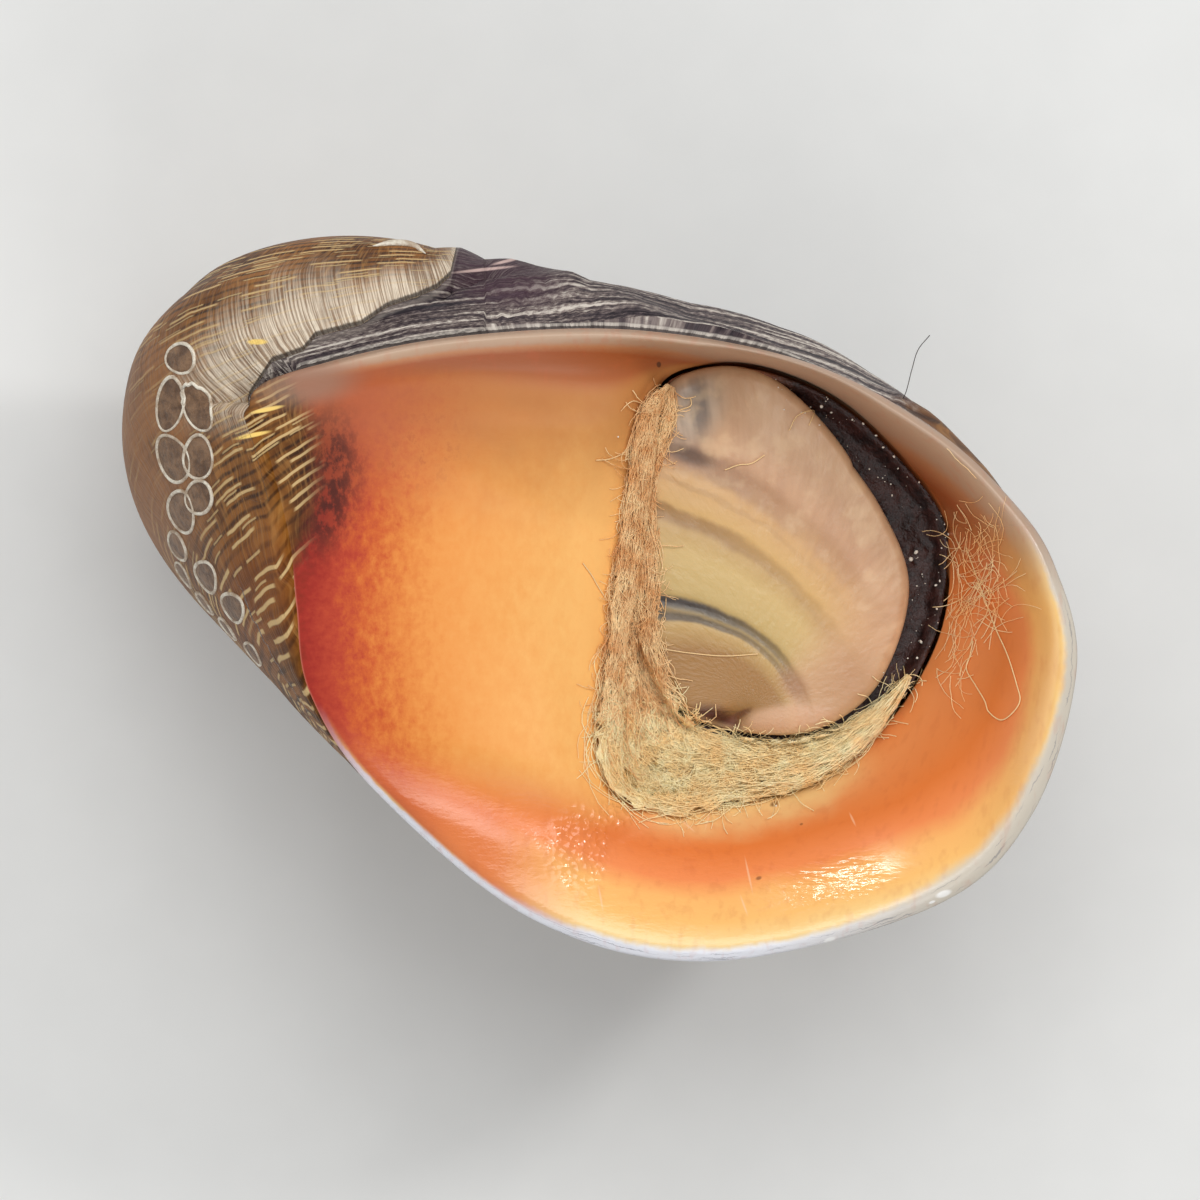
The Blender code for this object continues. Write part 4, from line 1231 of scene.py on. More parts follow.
def brown_skin(paint, look, suture=None):
    """Brown skin with cream dashes, its relief, and a painted sheen beside the seam if that is given."""
    place, x, y = paint.place, paint.x, paint.y
    axis = Vector(PATTERN_AXIS)
    up = (Vector((0.0, 0.0, 1.0)) - axis * axis.z).normalized()
    arm = paint.vector_math("ADD", place, tuple(-SPIRAL_POLE - REST_SHIFT))
    reach = paint.add("ShaderNodeVectorMath", {0: arm}, "Value", operation="LENGTH")
    tall, front, side = (paint.dot(arm, tuple(way)) for way in (axis, up, axis.cross(up)))
    latitude = paint.math("ARCCOSINE", tall / reach, 0.0)
    turn = paint.math("ARCTAN2", side, front)
    along = turn * 5.5 + (paint.noise(place, 0.5, 2.0) - 0.5) * 0.9
    rows = latitude * 35.0 + (paint.noise(place, 0.7, 2.0) - 0.5) * 0.9

    # Brown ground with soft growth bands
    band = paint.noise(paint.vector(along * 0.55, latitude * 1.1, 0.0), 1.0, 4.0, 0.6)
    blotch = paint.noise(place, 0.7, 4.0, 0.6)
    brown = paint.ramp(
        band * 0.5 + blotch * 0.5,
        (0.3, (48, 24, 7)), (0.44, (94, 54, 18)), (0.56, (142, 90, 36)),
        (0.7, (116, 68, 26)),
    )
    thread = (rows.fraction() - 0.5).size()
    dim = paint.noise(paint.vector(along * 0.9, rows * 0.5, 4.0), 1.0, 2.0).rise(0.35, 0.6)
    brown = (thread.rise(0.2, 0.44) * (0.4 + 0.55 * dim)).tint(brown, (50, 26, 10))
    fine = paint.noise(paint.vector(along * 9.0 + latitude * 4.0, latitude * 9.0, 0.0), 1.0, 2.0, 0.6)
    brown = (fine.rise(0.46, 0.7) * 0.4).tint(brown, (182, 132, 72))
    first = dashes(paint, rows, along, 2.1, 0.66, 1.0, 0.15)
    second = dashes(paint, rows + 0.5, along, 1.1, 0.3, 5.0, 0.1)
    cream = first.most(second * 0.8)

    # Painted sheen on the far left: a broad pinkish reflection on the bulge's flank, which also washes out
    # the dashes
    left_sheen = paint.oval(-13.6, 4.2, 2.1, 4.6).fall(0.35, 1.3) * (0.6 + 0.4 * blotch.rise(0.3, 0.6))
    brown = (left_sheen * 0.8).tint(brown, (152, 106, 70))
    cream = cream * (1.0 - 0.9 * left_sheen)
    brown = paint.marked(brown, ((-10.2, 0.3, 1.5, 2.4), 0.3, 1.3, 0.45, (140, 76, 22)))

    # Painted sheen beside the seam, on the older whorl: a pale greyish reflection laid on as colour, with
    # fine striae and a little relief
    relief = 0.0
    if suture is not None:
        from_seam = (0.0 - suture) / x.rise(-10.5, -5.0, 1.1, 0.38)
        seam_sheen = from_seam.fall(0.9, 2.6) * suture.fall(-0.02, 0.02) * y.rise(4.5, 6.5)
        seam_sheen = seam_sheen * (0.7 + 0.3 * blotch.rise(0.35, 0.55))
        even = turn * 110.0 + (blotch - 0.5) * 1.5
        stria = paint.noise(paint.vector(even - latitude * 26.0, latitude * 3.0, 0.0), 1.0, 1.0)
        seam_sheen_colour = stria.rise(0.34, 0.64).tint((160, 136, 112), (242, 226, 202))
        brown = (seam_sheen * 0.92).tint(brown, seam_sheen_colour)
        cream = cream * (1.0 - 0.75 * seam_sheen)
        relief = stria * seam_sheen * 0.1
    brown = (cream * 0.75).tint(brown, tuple(look.dash_colour))
    bright = paint.oval(-10.05, 5.73, 0.52, 0.07, 12.0).fall(0.6, 1.2)
    bright = bright.most(paint.oval(-10.5, 4.95, 0.56, 0.07, 12.0).fall(0.6, 1.2))
    bright = bright.most(paint.oval(-10.35, 7.78, 0.32, 0.09).fall(0.6, 1.2)) * paint.z.rise(11.0, 11.6)
    return bright.tint(brown, (250, 212, 120)), cream * 0.06 + relief, fine, blotch


def skin_finish(look):
    """The outside: brown with cream dashes, a painted pale sheen beside the seam and dark lamellae."""
    paint = Paint("shell_paint")
    place, x, y = paint.place, paint.x, paint.y
    growth, across, suture, off_lip = (
        paint.attribute(name) for name in ("growth", "across", "suture", "off_lip")
    )
    stops = ((at, (height, height, height, 1.0)) for at, height in (
        ((x_at + 11.0) / 8.0, (y_at - 6.0) / 5.0) for x_at, y_at in SEAM_RUN
    ))
    seam = paint.ramp((x + 11.0) / 8.0, *stops) * 5.0 + 6.0 - y
    beside = x.rise(-10.65, -10.6) * x.fall(-3.5, -3.4) * y.rise(5.8, 5.9) * paint.z.rise(9.3, 10.0)
    suture = suture + (seam * 0.85 - suture) * beside
    started = beside * seam.rise(0.0, 0.02)
    growth = growth + (off_lip * 9.0 - growth) * started
    across = across + (x + 10.6 - across) * started
    brown, relief, fine, blotch = brown_skin(paint, look, suture)

    # Dark grey lamellae on the youngest part of the shoulder
    wavy = growth + (paint.noise(place, 0.8, 2.0) - 0.5) * 0.9
    streak = paint.noise(paint.vector(wavy * 1.05, across * 0.14, 2.0), 1.0, 3.0, 0.6)
    flake = paint.noise(paint.vector(wavy * 1.8, across * 4.5, 7.0), 1.0, 3.0, 0.65)
    grey = paint.ramp(
        streak * 0.66 + flake * 0.34,
        (0.4, (32, 24, 30)), (0.47, (78, 66, 68)), (0.53, (134, 120, 114)),
        (0.6, (204, 194, 182)),
    )
    grey = paint.marked(grey, ((-3.3, 9.9, 2.3, 1.0, -12.0), 0.5, 1.3, 0.75, (74, 48, 60)))
    line = paint.oval(-3.5, 9.98, 0.95, 0.05, 6.0).fall(0.5, 1.3)
    line = line.most(paint.oval(-2.8, 10.24, 0.45, 0.05, 14.0).fall(0.5, 1.3)) * paint.z.rise(12.6, 13.2)
    grey = line.tint(grey, (222, 190, 182))
    young = growth.fall(60.0, 120.0) * across.fall(15.0, 24.0) * across.rise(-1.2, -0.4)
    young = (young + (blotch - 0.5) * 0.5 * young.rise(0.0, 0.2)).fall(0.2, 0.5)
    skin = young.tint(grey, brown)
    lobe = (x / 1.35 + paint.noise(place, 0.5) * 0.8).fraction()
    edge = suture - 0.24 * (1.0 - lobe) * lobe.rise(0.0, 0.22) * (1.0 - beside) - (flake - 0.5) * 0.1
    step = edge.rise(-0.05, 0.07)
    clear = paint.z.rise(7.0, 9.0)
    near = suture.size().fall(0.2, 0.7) * clear
    # A dark line on the older side of the seam is painted shadow under the younger whorl's step; a pale
    # grey line follows on the younger side
    skin = ((edge + 0.06).size().fall(0.03, 0.1) * clear * 0.85).tint(skin, (34, 24, 22))
    skin = ((edge - 0.12).size().fall(0.03, 0.14) * clear * 0.28).tint(skin, (172, 160, 148))
    lamella = streak.rise(0.4, 0.6) * (1.0 - young)
    height = step * near * 0.4 + lamella * 0.25 + relief + fine * 0.12 * young

    # The lip's outer corner: a dark line, then a pale one
    upper = across.rise(-0.6, 0.2) * across.fall(25.0, 31.0) * y.rise(6.0, 6.1).most(x.rise(0.0, 1.0))
    rim_line = off_lip + (flake - 0.5) * 0.1
    pale_line = rim_line.fall(0.17, 0.22) * upper * (0.4 + 0.5 * flake.rise(0.4, 0.6))
    skin = pale_line.tint(skin, (204, 194, 182))
    skin = (rim_line.fall(0.08, 0.11) * upper * 0.85).tint(skin, (46, 32, 32))
    rest = growth.fall(0.8, 2.6) * across.rise(25.0, 31.0) * x.rise(-8.0, -7.2)
    # The bare edge turns greyer and warmer towards the right: partly a warmer tone of the edge, partly
    # painted shade where less light falls
    skin = rest.tint(skin, x.rise(4.0, 11.0).tint(tuple(look.rim_colour), (204, 196, 184)))
    gloss = 0.28 - paint.attribute("deck") * 0.28
    return paint.finished(skin, 0.5, height, 0.6, Specular_IOR_Level=gloss)


def face_finish(look):
    """The lip and the flat inner deck."""
    paint = Paint("face_paint")
    place, x, y = paint.place, paint.x, paint.y
    lip_edge, mouth_edge, deck = (paint.attribute(name) for name in ("lip_edge", "mouth_edge", "deck"))
    wobble = paint.noise(place, 0.9, 3.0)
    flecks = paint.noise(place, 5.0, 3.0, 0.6)

    # Lip: a bluish white edge, a yellow band and orange further in
    spread = x.rise(-6.5, -0.5, 0.25, 0.6) + paint.oval(11.6, -7.4, 5.0, 4.2).fall(0.1, 1.2) * 0.55
    depth = (lip_edge + (wobble - 0.5) * 0.3 + (flecks - 0.5) * 0.12) / spread
    narrow = x.rise(-6.5, -0.5, 0.4, 1.0) - x.rise(9.0, 13.0, 0.0, 0.36)
    inner = (lip_edge + (wobble - 0.5) * 0.3) / narrow
    low_lip = paint.ramp(
        inner / 4.5,
        (0.0, (242, 222, 172)), (0.14, (244, 204, 134)), (0.26, (248, 190, 110)),
        (0.42, (250, 184, 106)), (0.56, (242, 142, 82)), (0.75, (228, 124, 58)),
        (1.0, (232, 142, 80)),
    )
    # The bare edge turns greyer and warmer towards the right: partly a warmer tone of the edge, partly
    # painted shade where less light falls
    white = x.rise(4.0, 11.0).tint(tuple(look.rim_colour), (208, 198, 182))
    low_lip = depth.fall(0.4, 0.8).tint(low_lip, white)
    yellow = lip_edge.rise(0.12, 0.3) * lip_edge.fall(1.6, 2.6) * x.fall(-3.6, 0.0)
    orange = x.rise(-6.5, -4.0).tint((198, 84, 44), (222, 116, 60))
    low_lip = (yellow * 0.92).tint(low_lip, orange)
    scratch = paint.noise(paint.vector(depth * 14.0, (x + y) * 0.35, 0.0), 1.0, 2.0).rise(0.58, 0.66)
    low_lip = (scratch * depth.fall(0.3, 0.5) * 0.5).tint(low_lip, (112, 112, 122))
    near_mouth = (mouth_edge + (wobble - 0.5) * 0.8).fall(0.3, 1.5) * y.fall(-5.0, -4.0)
    near_mouth = near_mouth * x.rise(0.5, 2.5) * x.fall(6.5, 9.0)
    low_lip = (near_mouth * 0.8).tint(low_lip, (244, 212, 146))
    # Upper lip: a pale pinkish band, then brown-red further in, darkened as painted shade on the inner face
    # under the lip's edge
    top_lip = paint.ramp(
        (lip_edge + (flecks - 0.5) * 0.1) / x.rise(2.0, 7.0, 2.5, 4.0),
        (0.0, (172, 142, 120)), (0.1, (192, 162, 136)), (0.2, (184, 148, 120)),
        (0.26, (186, 126, 84)), (0.36, (164, 86, 42)), (0.6, (166, 92, 48)),
        (1.0, (174, 98, 52)),
    )
    lip = (y + 0.15 * x).rise(1.5, 4.5).tint(low_lip, top_lip)
    grain = paint.noise(paint.stretched(place, 1.0, 0.35, 1.0), 3.4, 2.0)
    lip = (grain.rise(0.5, 0.75) * 0.16).tint(lip, (196, 92, 50))

    # Deck: red at its outer margin, through orange to yellow at the columellar edge
    bow = (y + 0.6) * (y + 0.6)
    from_margin = x + 9.35 - bow * 0.028
    mottle = paint.noise(paint.stretched(place, 1.3, 0.8, 1.0), 2.6, 5.0, 0.7)
    soft = paint.noise(place, 0.5, 2.0)
    shifted = from_margin + (mottle - 0.5) * 3.4 * from_margin.rise(0.6, 2.2) + (soft - 0.5) * 1.2
    shifted = shifted + (flecks - 0.5) * 1.4 * from_margin.fall(3.0, 6.0)
    flat = paint.ramp(
        shifted / 11.0,
        (0.0, (140, 40, 24)), (0.05, (162, 44, 32)), (0.12, (184, 66, 42)),
        (0.2, (206, 96, 44)), (0.3, (224, 130, 58)), (0.4, (234, 150, 72)),
        (0.6, tuple(look.deck_colour)), (0.8, (248, 188, 110)), (1.0, (242, 178, 102)),
    )
    red = mottle.rise(0.52, 0.66) * paint.oval(-6.0, 4.9, 2.6, 2.2).fall(0.2, 1.2)
    flat = (red * 0.6).tint(flat, (176, 62, 28))
    # Browner towards the upper lip: partly the deck's own colour, partly painted shade under the upper lip
    upper = (y + (wobble - 0.5) * 1.4).rise(1.2, 6.6)
    flat = (upper * 0.8).tint(flat, x.rise(-9.0, -2.0).tint((176, 92, 50), (170, 104, 56)))
    face = deck.tint(lip, flat)
    margin = lip_edge.fall(0.0, 0.06) * y.fall(0.2, 1.2) * y.rise(-4.6, -4.0) * x.fall(-7.5, -7.2)
    face = (margin * 0.4).tint(face, (224, 146, 120))
    # Painted highlight: a soft pink sheen along the crest of the fold at the lower left
    face = paint.marked(face, ((-4.1, -6.62, 2.1, 0.34, -24.0), 0.3, 1.2, 0.3, (250, 172, 140)))
    # Painted shade: the lip darker and browner towards the right side, where less light falls
    face = (x.rise(10.5, 13.5) * lip_edge.rise(0.3, 1.0) * 0.3).tint(face, (138, 82, 42))
    lines = (
        (0.06, -9.1, 0.35, 0.03, -80.0), (3.35, -6.55, 0.45, 0.03, 75.0), (4.55, -8.4, 0.5, 0.03, -78.0),
        (4.4, -9.3, 0.3, 0.03, -70.0), (2.7, -6.9, 0.25, 0.03, -40.0), (7.7, -6.7, 0.2, 0.03, -65.0),
    )
    specks = (
        (5.33, -6.24, 0.13, 0.078, 20.0), (4.85, -8.48, 0.09, 0.054, 20.0), (6.15, -6.85, 0.05, 0.03, 20.0),
    )
    chips = (
        (7.0, -10.35, 0.2, 0.08, 20.0), (10.45, -8.95, 0.24, 0.096, 20.0), (10.1, -9.2, 0.1, 0.04, 20.0),
    )
    face = paint.marked(
        face, *((spot, 0.5, 1.4, 0.5, (252, 206, 166)) for spot in lines),
        *((spot, 0.5, 1.4, 0.7, (120, 72, 38)) for spot in specks),
        *((spot, 0.6, 1.3, 0.8, (254, 252, 248)) for spot in chips),
    )

    # Upper left, where the brown skin of the bulge goes on under a thin glaze
    rise = (y - 3.9) + (soft - 0.5) * 1.5
    past = (x + 8.0) + rise * rise * 0.1 + (mottle - 0.5) * 0.7
    bare = past.fall(-0.9, -0.1) * y.rise(0.2, 1.2)
    dark = past.rise(-1.2, -0.2) * past.fall(0.0, 1.2) * y.rise(0.2, 2.6) * y.fall(4.4, 6.6)
    face = bare.tint(face, brown_skin(paint, look)[0])
    face = (dark * (0.35 + 0.55 * mottle.fall(0.42, 0.62))).tint(face, (66, 28, 22))
    face = paint.marked(
        face, ((-8.9, 6.5, 1.9, 0.75, 8.0), 0.3, 1.2, 0.7, (150, 118, 98)),
        ((1.82, 7.1, 0.07, 0.09), 0.7, 1.2, 0.8, (60, 26, 16)),
    )

    # Glaze: fine ripples, a net of folds and long streaks that catch the light
    ripple = paint.noise(paint.stretched(place, 1.0, 2.2, 1.0), 2.6, 3.0, 0.6)
    wrinkled = (y + 0.3 * x).fall(-7.5, -5.5)
    net = paint.add("ShaderNodeTexVoronoi", {"Vector": place, "Scale": 4.2}, "Distance")
    netted = paint.oval(-0.6, -7.5, 0.9, 1.3).fall(0.5, 1.4)
    netted = netted.most(paint.oval(0.6, -6.5, 1.3, 0.5, 22.0).fall(0.5, 1.4))
    streaks = paint.noise(paint.stretched(place, 1.4, 6.0, 1.0), 1.0, 2.0)
    streaked = paint.oval(7.3, -8.6, 1.9, 0.9, 10.0).fall(0.5, 1.3)
    height = ripple * (0.01 + 0.025 * wrinkled) + net * netted * 0.14 + streaks * streaked * 0.06
    roughness = 0.24 + 0.24 * deck + 0.16 * y.rise(1.0, 5.0) - 0.12 * netted.most(streaked)
    gloss = 0.5 - deck * 0.28
    return paint.finished(face, roughness.least(0.5), height, 0.6, Specular_IOR_Level=gloss)


def lid_finish(look):
    """The operculum: growth lines in slate, olive, ochre and pinkish tan round the curl."""
    paint = Paint("lid_paint")
    place, x, y = paint.place, paint.x, paint.y
    part = paint.attribute("lid_part")
    wobble = paint.noise(place, 1.2, 3.0)
    growth = paint.attribute("lid_growth") + (wobble - 0.5) * 0.09
    turn = paint.math("ARCTAN2", y - (NUCLEUS[1] + REST_SHIFT[1]), x - (NUCLEUS[0] + REST_SHIFT[0]))
    bands = paint.ramp(
        (growth + 0.6) / 2.1,
        (0.0, (160, 118, 66)), (0.17, (190, 156, 98)), (0.3, (178, 150, 92)),
        (0.36, (196, 168, 108)), (0.5, (206, 176, 116)), (0.58, (190, 154, 96)),
        (0.64, (212, 172, 112)), (0.74, (204, 160, 108)), (0.8, (198, 156, 120)),
        (0.92, (206, 168, 130)), (1.0, (198, 152, 114)),
    )
    fade = x.fall(2.6, 7.2)
    plain = turn.fall(0.45, 1.1) * growth.rise(-0.5, -0.1)
    bands = (plain * 0.85).tint(bands, tuple(look.lid_colour))
    for line, width, strength, colour in (
        (0.0, 0.075, 0.95, (54, 48, 50)), (-0.15, 0.055, 0.85, (74, 66, 60)),
        (-0.075, 0.06, 0.55, (122, 112, 94)), (0.67, 0.06, 0.6, (134, 94, 58)),
        (1.0, 0.08, 0.6, (128, 92, 80)), (0.86, 0.02, 0.25, (150, 112, 76)),
    ):
        mark = (growth - line).size().fall(width * 0.4, width * 1.25) * strength
        bands = (mark * (0.25 + 0.75 * fade) * (1.0 - 0.85 * plain)).tint(bands, colour)
    ray = paint.noise(paint.vector(turn * 9.0, growth * 1.5, 0.0), 1.0, 3.0, 0.6)
    bands = (ray.rise(0.45, 0.7) * growth.rise(0.7, 1.1) * 0.35).tint(bands, (170, 124, 92))
    bands = (ray.fall(0.35, 0.5) * growth.rise(0.8, 1.2) * 0.25).tint(bands, (226, 196, 158))
    slate = paint.oval(2.85, 5.75, 1.1, 1.5, -25.0).fall(0.3, 1.2) * 0.85
    bands = slate.tint(bands, ray.rise(0.36, 0.62).tint((112, 104, 98), (196, 178, 156)))
    bands = paint.marked(bands, ((2.75, 4.35, 0.95, 0.32, -20.0), 0.3, 1.2, 0.75, (84, 64, 54)))
    knob = paint.oval(5.75, -3.7, 1.5, 0.46, 4.0)
    bands = (knob.fall(0.7, 1.3) * 0.8).tint(bands, (212, 168, 132))
    # Painted shade: dark red-brown in the dip beside the curl, with a crisp dark edge where it meets the
    # knob
    hollow_shade = paint.oval(3.5, -3.8, 1.0, 0.6, -18.0).fall(0.45, 1.2)
    bands = (hollow_shade * knob.rise(0.85, 1.1)).tint(bands, (74, 32, 18))
    bands = ((knob - 1.15).size().fall(0.05, 0.22) * x.fall(4.4, 4.8) * 0.7).tint(bands, (110, 60, 40))
    bands = paint.marked(bands, ((5.9, -2.6, 0.75, 0.45, -50.0), 0.2, 1.2, 0.55, (140, 96, 66)))
    bands = (part.rise(0.955, 0.99) * 0.4).tint(bands, (226, 190, 146))
    bands = (wobble.rise(0.5, 0.7) * growth.rise(0.7, 1.0) * 0.3).tint(bands, (232, 202, 160))
    bands = paint.marked(bands, ((7.7, -2.7, 1.7, 1.3, 30.0), 0.2, 1.3, 0.3, (150, 98, 64)))
    height = paint.noise(paint.vector(turn * 14.0, growth * 10.0, 0.0), 1.0, 3.0) * 0.05
    return paint.finished(bands, paint.noise(place, 2.0, 2.0).rise(0.3, 0.7, 0.3, 0.48), height, 0.7)


def dried_finish(name, dark, pale, size, roughness, relief=0.7):
    """Uneven dried stuff between two colours, with a rough face."""
    paint = Paint(name)
    lumps = paint.noise(paint.place, size, 5.0, 0.65)
    colour = lumps.rise(0.32, 0.66).tint(dark, pale)
    return paint.finished(colour, roughness, lumps * 0.3, relief)


def colour_setting(name, description, colour):
    return bpy.props.FloatVectorProperty(
        name=name, description=description, default=colour, subtype="COLOR", size=4, min=0.0, max=1.0
    )


def length_setting(name, description, length):
    return bpy.props.FloatProperty(
        name=name, description=description, default=length, min=0.0, precision=6, unit="LENGTH",
        subtype="DISTANCE",
    )


def count_setting(name, description, count):
    return bpy.props.IntProperty(name=name, description=description, default=count, min=1, max=10000)


class NERITE_PG_settings(bpy.types.PropertyGroup):
    """Colours, sizes and counts to set before the pieces are made"""

    dash_colour: colour_setting("Dashes", "Colour of the dashes on the brown skin", shade(222, 190, 134))
    deck_colour: colour_setting("Deck", "Colour of the middle of the deck", shade(240, 168, 90))
    rim_colour: colour_setting("Lip edge", "Colour of the bare edge of the lip", shade(236, 236, 242))
    lid_colour: colour_setting("Operculum", "Colour of the operculum's outer zone", shade(204, 162, 124))
    crust_colour: colour_setting("Crust", "Colour of the crust's pale clump", shade(255, 236, 182))
    egg_case_colour: colour_setting("Egg cases", "Colour of the egg cases' rims", shade(240, 232, 214))
    rim_thickness: length_setting("Egg case rim", "Half thickness of an egg case's rim", 0.062 * MM)
    fibre_thickness: length_setting("Fibre", "Half thickness of a fibre of the crust", 0.012 * MM)
    fibre_count: count_setting("Fibres", "Fibres on each half of the crust", 2300)
    hair_count: count_setting("Hairs", "Hairs matted on the lip's inner wall", 180)
    dust_count: count_setting("Dust", "Pale specks on the dried foot", 70)


class NERITE_OT_shell(bpy.types.Operator):
    """Make the shell with its deck and lip"""

    bl_idname = "nerite.shell"
    bl_label = "Shell"

    def execute(self, context):
        look = context.scene.nerite
        mesh, within = build_shell_mesh()
        place_piece("shell_skin", mesh, skin_finish(look), "shell")
        mesh.materials.append(face_finish(look))
        mesh.polygons.foreach_set("material_index", within)
        return {"FINISHED"}


class NERITE_OT_operculum(bpy.types.Operator):
    """Make the operculum with its growth lines and curl"""

    bl_idname = "nerite.operculum"
    bl_label = "Operculum"

    def execute(self, context):
        finish = lid_finish(context.scene.nerite)
        place_piece("operculum_skin", build_operculum_mesh(), finish, "operculum")
        return {"FINISHED"}


class NERITE_OT_tissue(bpy.types.Operator):
    """Make the dried dark foot in the mouth"""

    bl_idname = "nerite.tissue"
    bl_label = "Dried foot"

    def execute(self, context):
        finish = foot_finish()
        place_piece("foot_skin", build_foot_mesh(), finish, "foot_tissue")
        return {"FINISHED"}


class NERITE_OT_crust(bpy.types.Operator):
    """Make the dried crust along the columellar edge, with its fibres"""

    bl_idname = "nerite.crust"
    bl_label = "Crust and fibres"

    def execute(self, context):
        look = context.scene.nerite
        trees = tree_of("shell_skin", "operculum_skin", "foot_skin")
        place_piece("crust", build_crust_mesh(trees), crust_finish(look), "membrane")
        trees += tree_of("crust")
        for name, stations, seed, shades in (
            ("crust_fibres", (0, 225), 7, ((232, 174, 112), (255, 222, 168))),
            ("clump_fibres", (215, 396), 11, ((255, 220, 156), (255, 242, 194))),
        ):
            finish = dried_finish(name + "_paint", *shades, 1.2, 0.5)
            runs = crust_fibres(trees, stations, look.fibre_count, look.fibre_thickness, seed)
            strands(name, *runs, finish, 4, "membrane")
        return {"FINISHED"}


class NERITE_OT_strands(bpy.types.Operator):
    """Make the loose strands on the lip, the lid and the outside"""

    bl_idname = "nerite.strands"
    bl_label = "Loose strands"

    def execute(self, context):
        look = context.scene.nerite
        trees = tree_of("shell_skin", "operculum_skin", "foot_skin", "crust")
        runs = [laid_run(trees, places, 0.05, 26) for places in LOOSE_STRANDS]
        runs.append(laid_run(trees, LIP_LOOP, 0.06, 90))
        finish = plain_finish("strand_paint", shade(240, 206, 150), 0.5)
        strands("loose_strands", runs, [0.02 * MM] * len(runs), finish, 5, "membrane")
        finish = dried_finish("mat_paint", (255, 200, 132), (255, 228, 176), 0.8, 0.5)
        hairs = mat_hairs(trees[:1] + trees[2:3], look.hair_count, 21)
        strands("mat_hairs", *hairs, finish, 4, "membrane")
        finish = plain_finish("dark_hair_paint", shade(46, 34, 30), 0.5)
        hair = [rested(x, y, -1.0) for x, y in open_curve(DARK_HAIR, 20).tolist()]
        strands("dark_hair", [hair], [0.014 * MM], finish, 5, "membrane")
        specks = (*BRIGHT_GRAINS, *dust_places(look.dust_count, 4))
        points = [laid_run(trees, ((x, y), (x, y + 0.01)), size * 0.4, 2)[:1] for x, y, size in specks]
        source = runs_mesh("grain_points", points, [size * 0.5 * MM for _, _, size in specks])
        finish = plain_finish("grain_paint", shade(238, 230, 214), 0.5)
        made = grown_by(grain_tree(), source, Size=1.0, Seed=3, Material=finish)
        place_piece("grains", made, finish)
        return {"FINISHED"}


class NERITE_OT_egg_cases(bpy.types.Operator):
    """Make the pale rims of the empty egg cases on the older whorl"""

    bl_idname = "nerite.egg_cases"
    bl_label = "Egg cases"

    def execute(self, context):
        look = context.scene.nerite
        tree = tree_of("shell_skin")[0]
        film = dried_finish("film_paint", (92, 64, 42), (142, 108, 78), 2.2, 0.45)
        place_piece("egg_case_films", build_film_mesh(tree), film)
        finish = dried_finish("egg_paint", (176, 152, 126), tuple(look.egg_case_colour), 1.8, 0.5)
        edge = [laid_on(tree, x, y, 0.02) for x, y in open_curve(TOP_ARC, 30).tolist()]
        taper = 0.13 * np.sin(np.linspace(0.1, math.pi - 0.1, 30)) * MM
        strands("edge_case", [edge], [taper], finish, 8, "shell")
        luck = random.Random(5)
        runs = egg_case_places(tree, 1.0, 48, 0.01)
        steps = np.arange(48) / 48 * math.tau
        widths = []
        for _ in runs:
            turn, depth = luck.uniform(0.0, math.tau), luck.uniform(0.1, 0.4)
            widths.append(look.rim_thickness * (1.0 - depth * (1.0 + np.cos(steps - turn)) / 2.0))
        strands("egg_case_rims", runs, widths, finish, 8, "shell", closed=True)
        return {"FINISHED"}


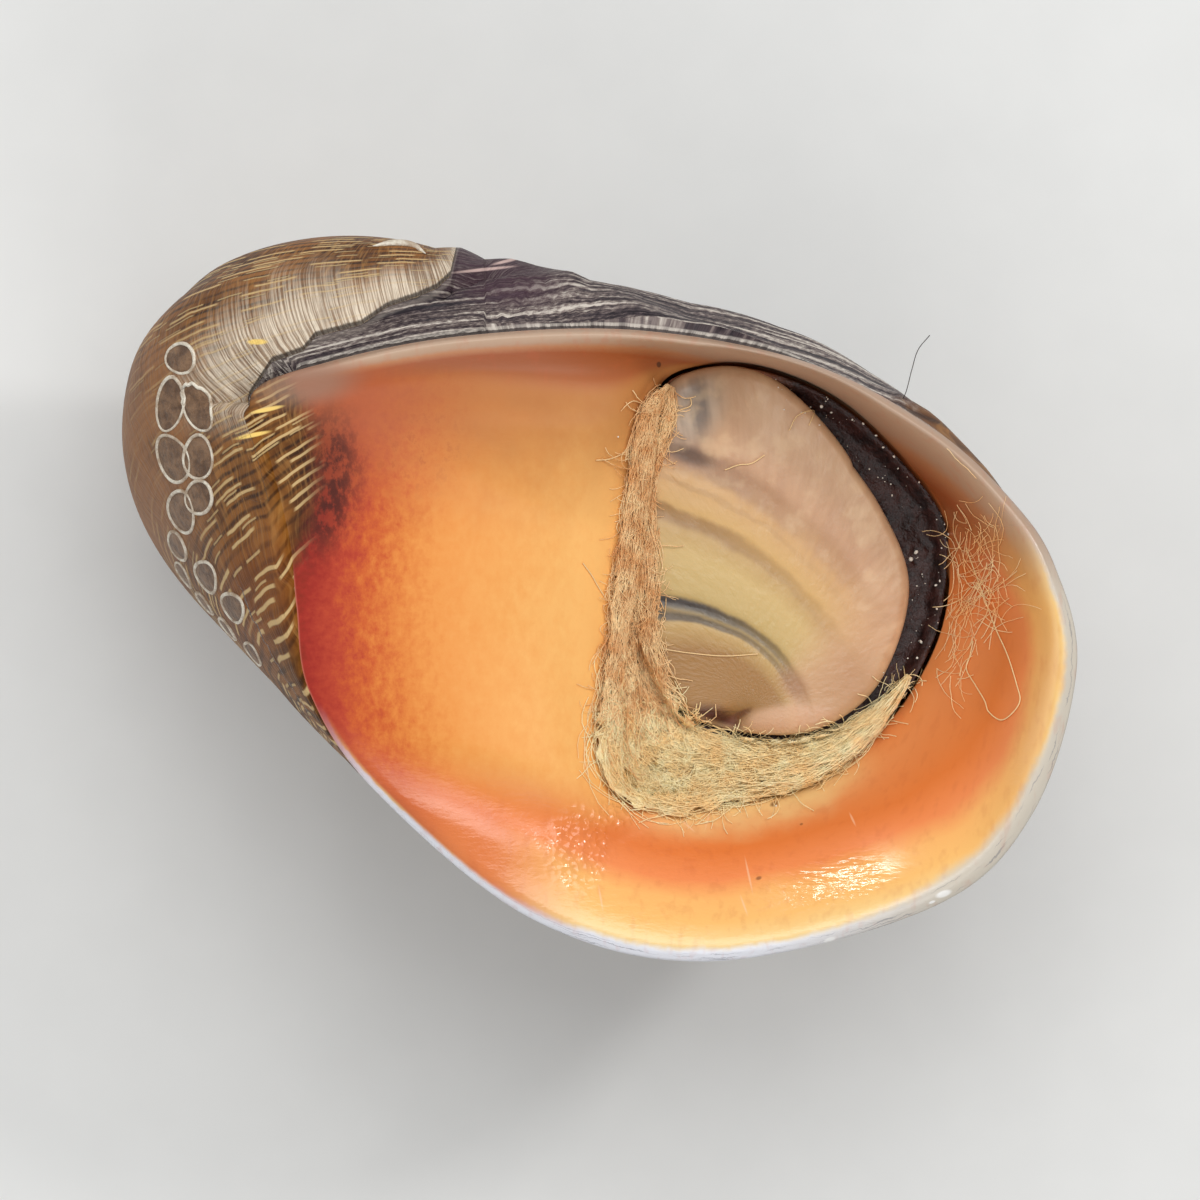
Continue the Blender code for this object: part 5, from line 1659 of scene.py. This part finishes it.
class NERITE_OT_stage(bpy.types.Operator):
    """Make the floor, the lights and the camera"""

    bl_idname = "nerite.stage"
    bl_label = "Stage"

    def execute(self, context):
        mesh = bpy.data.meshes.new("floor")
        mesh.from_pydata([(-1, -1, 0), (1, -1, 0), (1, 1, 0), (-1, 1, 0)], [], [(0, 1, 2, 3)])
        floor = bpy.data.objects.new("floor", mesh)
        mesh.materials.append(plain_finish("floor_paint", (0.78, 0.78, 0.76, 1.0), 0.8))
        context.scene.collection.objects.link(floor)
        world = bpy.data.worlds.new("studio")
        world.use_nodes = True
        sky = world.node_tree.nodes["Background"].inputs
        sky["Color"].default_value = (0.9, 0.92, 0.95, 1.0)
        sky["Strength"].default_value = 0.38
        context.scene.world = world
        for name, place, size, power in (
            ("top_light", (0.03, 0.10, 0.27), 0.18, 0.36),
            ("left_light", (-0.20, 0.02, 0.16), 0.14, 0.10),
            ("front_light", (0.05, -0.20, 0.22), 0.16, 0.16),
            ("low_left_light", (-0.09, 0.28, 0.062), 0.03, 0.09),
            ("low_right_light", (0.175, 0.09, 0.2), 0.03, 0.15),
        ):
            light = bpy.data.lights.new(name, "AREA")
            light.size = size
            light.energy = power
            lamp = bpy.data.objects.new(name, light)
            context.scene.collection.objects.link(lamp)
            lamp.location = place
            aim = Vector((0.0, 0.0, 0.01)) - Vector(place)
            lamp.rotation_euler = aim.to_track_quat("-Z", "Y").to_euler()
        camera_data = bpy.data.cameras.new("camera")
        camera_data.lens = 36.0 * CAMERA_HEIGHT / (VIEW_WIDTH * MM)
        camera_data.sensor_width = 36.0
        camera_data.clip_start = 0.1
        camera_data.clip_end = 10.0
        camera = bpy.data.objects.new("camera", camera_data)
        context.scene.collection.objects.link(camera)
        camera.location = (REST_SHIFT[0] * MM, REST_SHIFT[1] * MM, REST_SHIFT[2] * MM + CAMERA_HEIGHT)
        context.scene.camera = camera
        context.scene.view_settings.view_transform = "Standard"
        return {"FINISHED"}


class NERITE_PT_panel(bpy.types.Panel):
    """The shell's pieces, in the sidebar"""

    bl_label = "Nerite Shell"
    bl_idname = "NERITE_PT_panel"
    bl_space_type = "VIEW_3D"
    bl_region_type = "UI"
    bl_category = "Nerite"

    def draw(self, context):
        for setting in NERITE_PG_settings.__annotations__:
            self.layout.prop(context.scene.nerite, setting)
        for kind in OPERATORS:
            self.layout.operator(kind.bl_idname)


OPERATORS = (
    NERITE_OT_shell, NERITE_OT_operculum, NERITE_OT_tissue, NERITE_OT_crust, NERITE_OT_strands,
    NERITE_OT_egg_cases, NERITE_OT_stage,
)
CLASSES = (NERITE_PG_settings, *OPERATORS, NERITE_PT_panel)


def register():
    for kind in CLASSES:
        bpy.utils.register_class(kind)
    bpy.types.Scene.nerite = bpy.props.PointerProperty(type=NERITE_PG_settings)


def unregister():
    del bpy.types.Scene.nerite
    for kind in reversed(CLASSES):
        bpy.utils.unregister_class(kind)


def main():
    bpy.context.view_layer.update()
    register()
    bpy.ops.nerite.shell()
    bpy.ops.nerite.operculum()
    bpy.ops.nerite.tissue()
    bpy.ops.nerite.crust()
    bpy.ops.nerite.strands()
    bpy.ops.nerite.egg_cases()
    bpy.ops.nerite.stage()


if __name__ == "__main__":
    main()
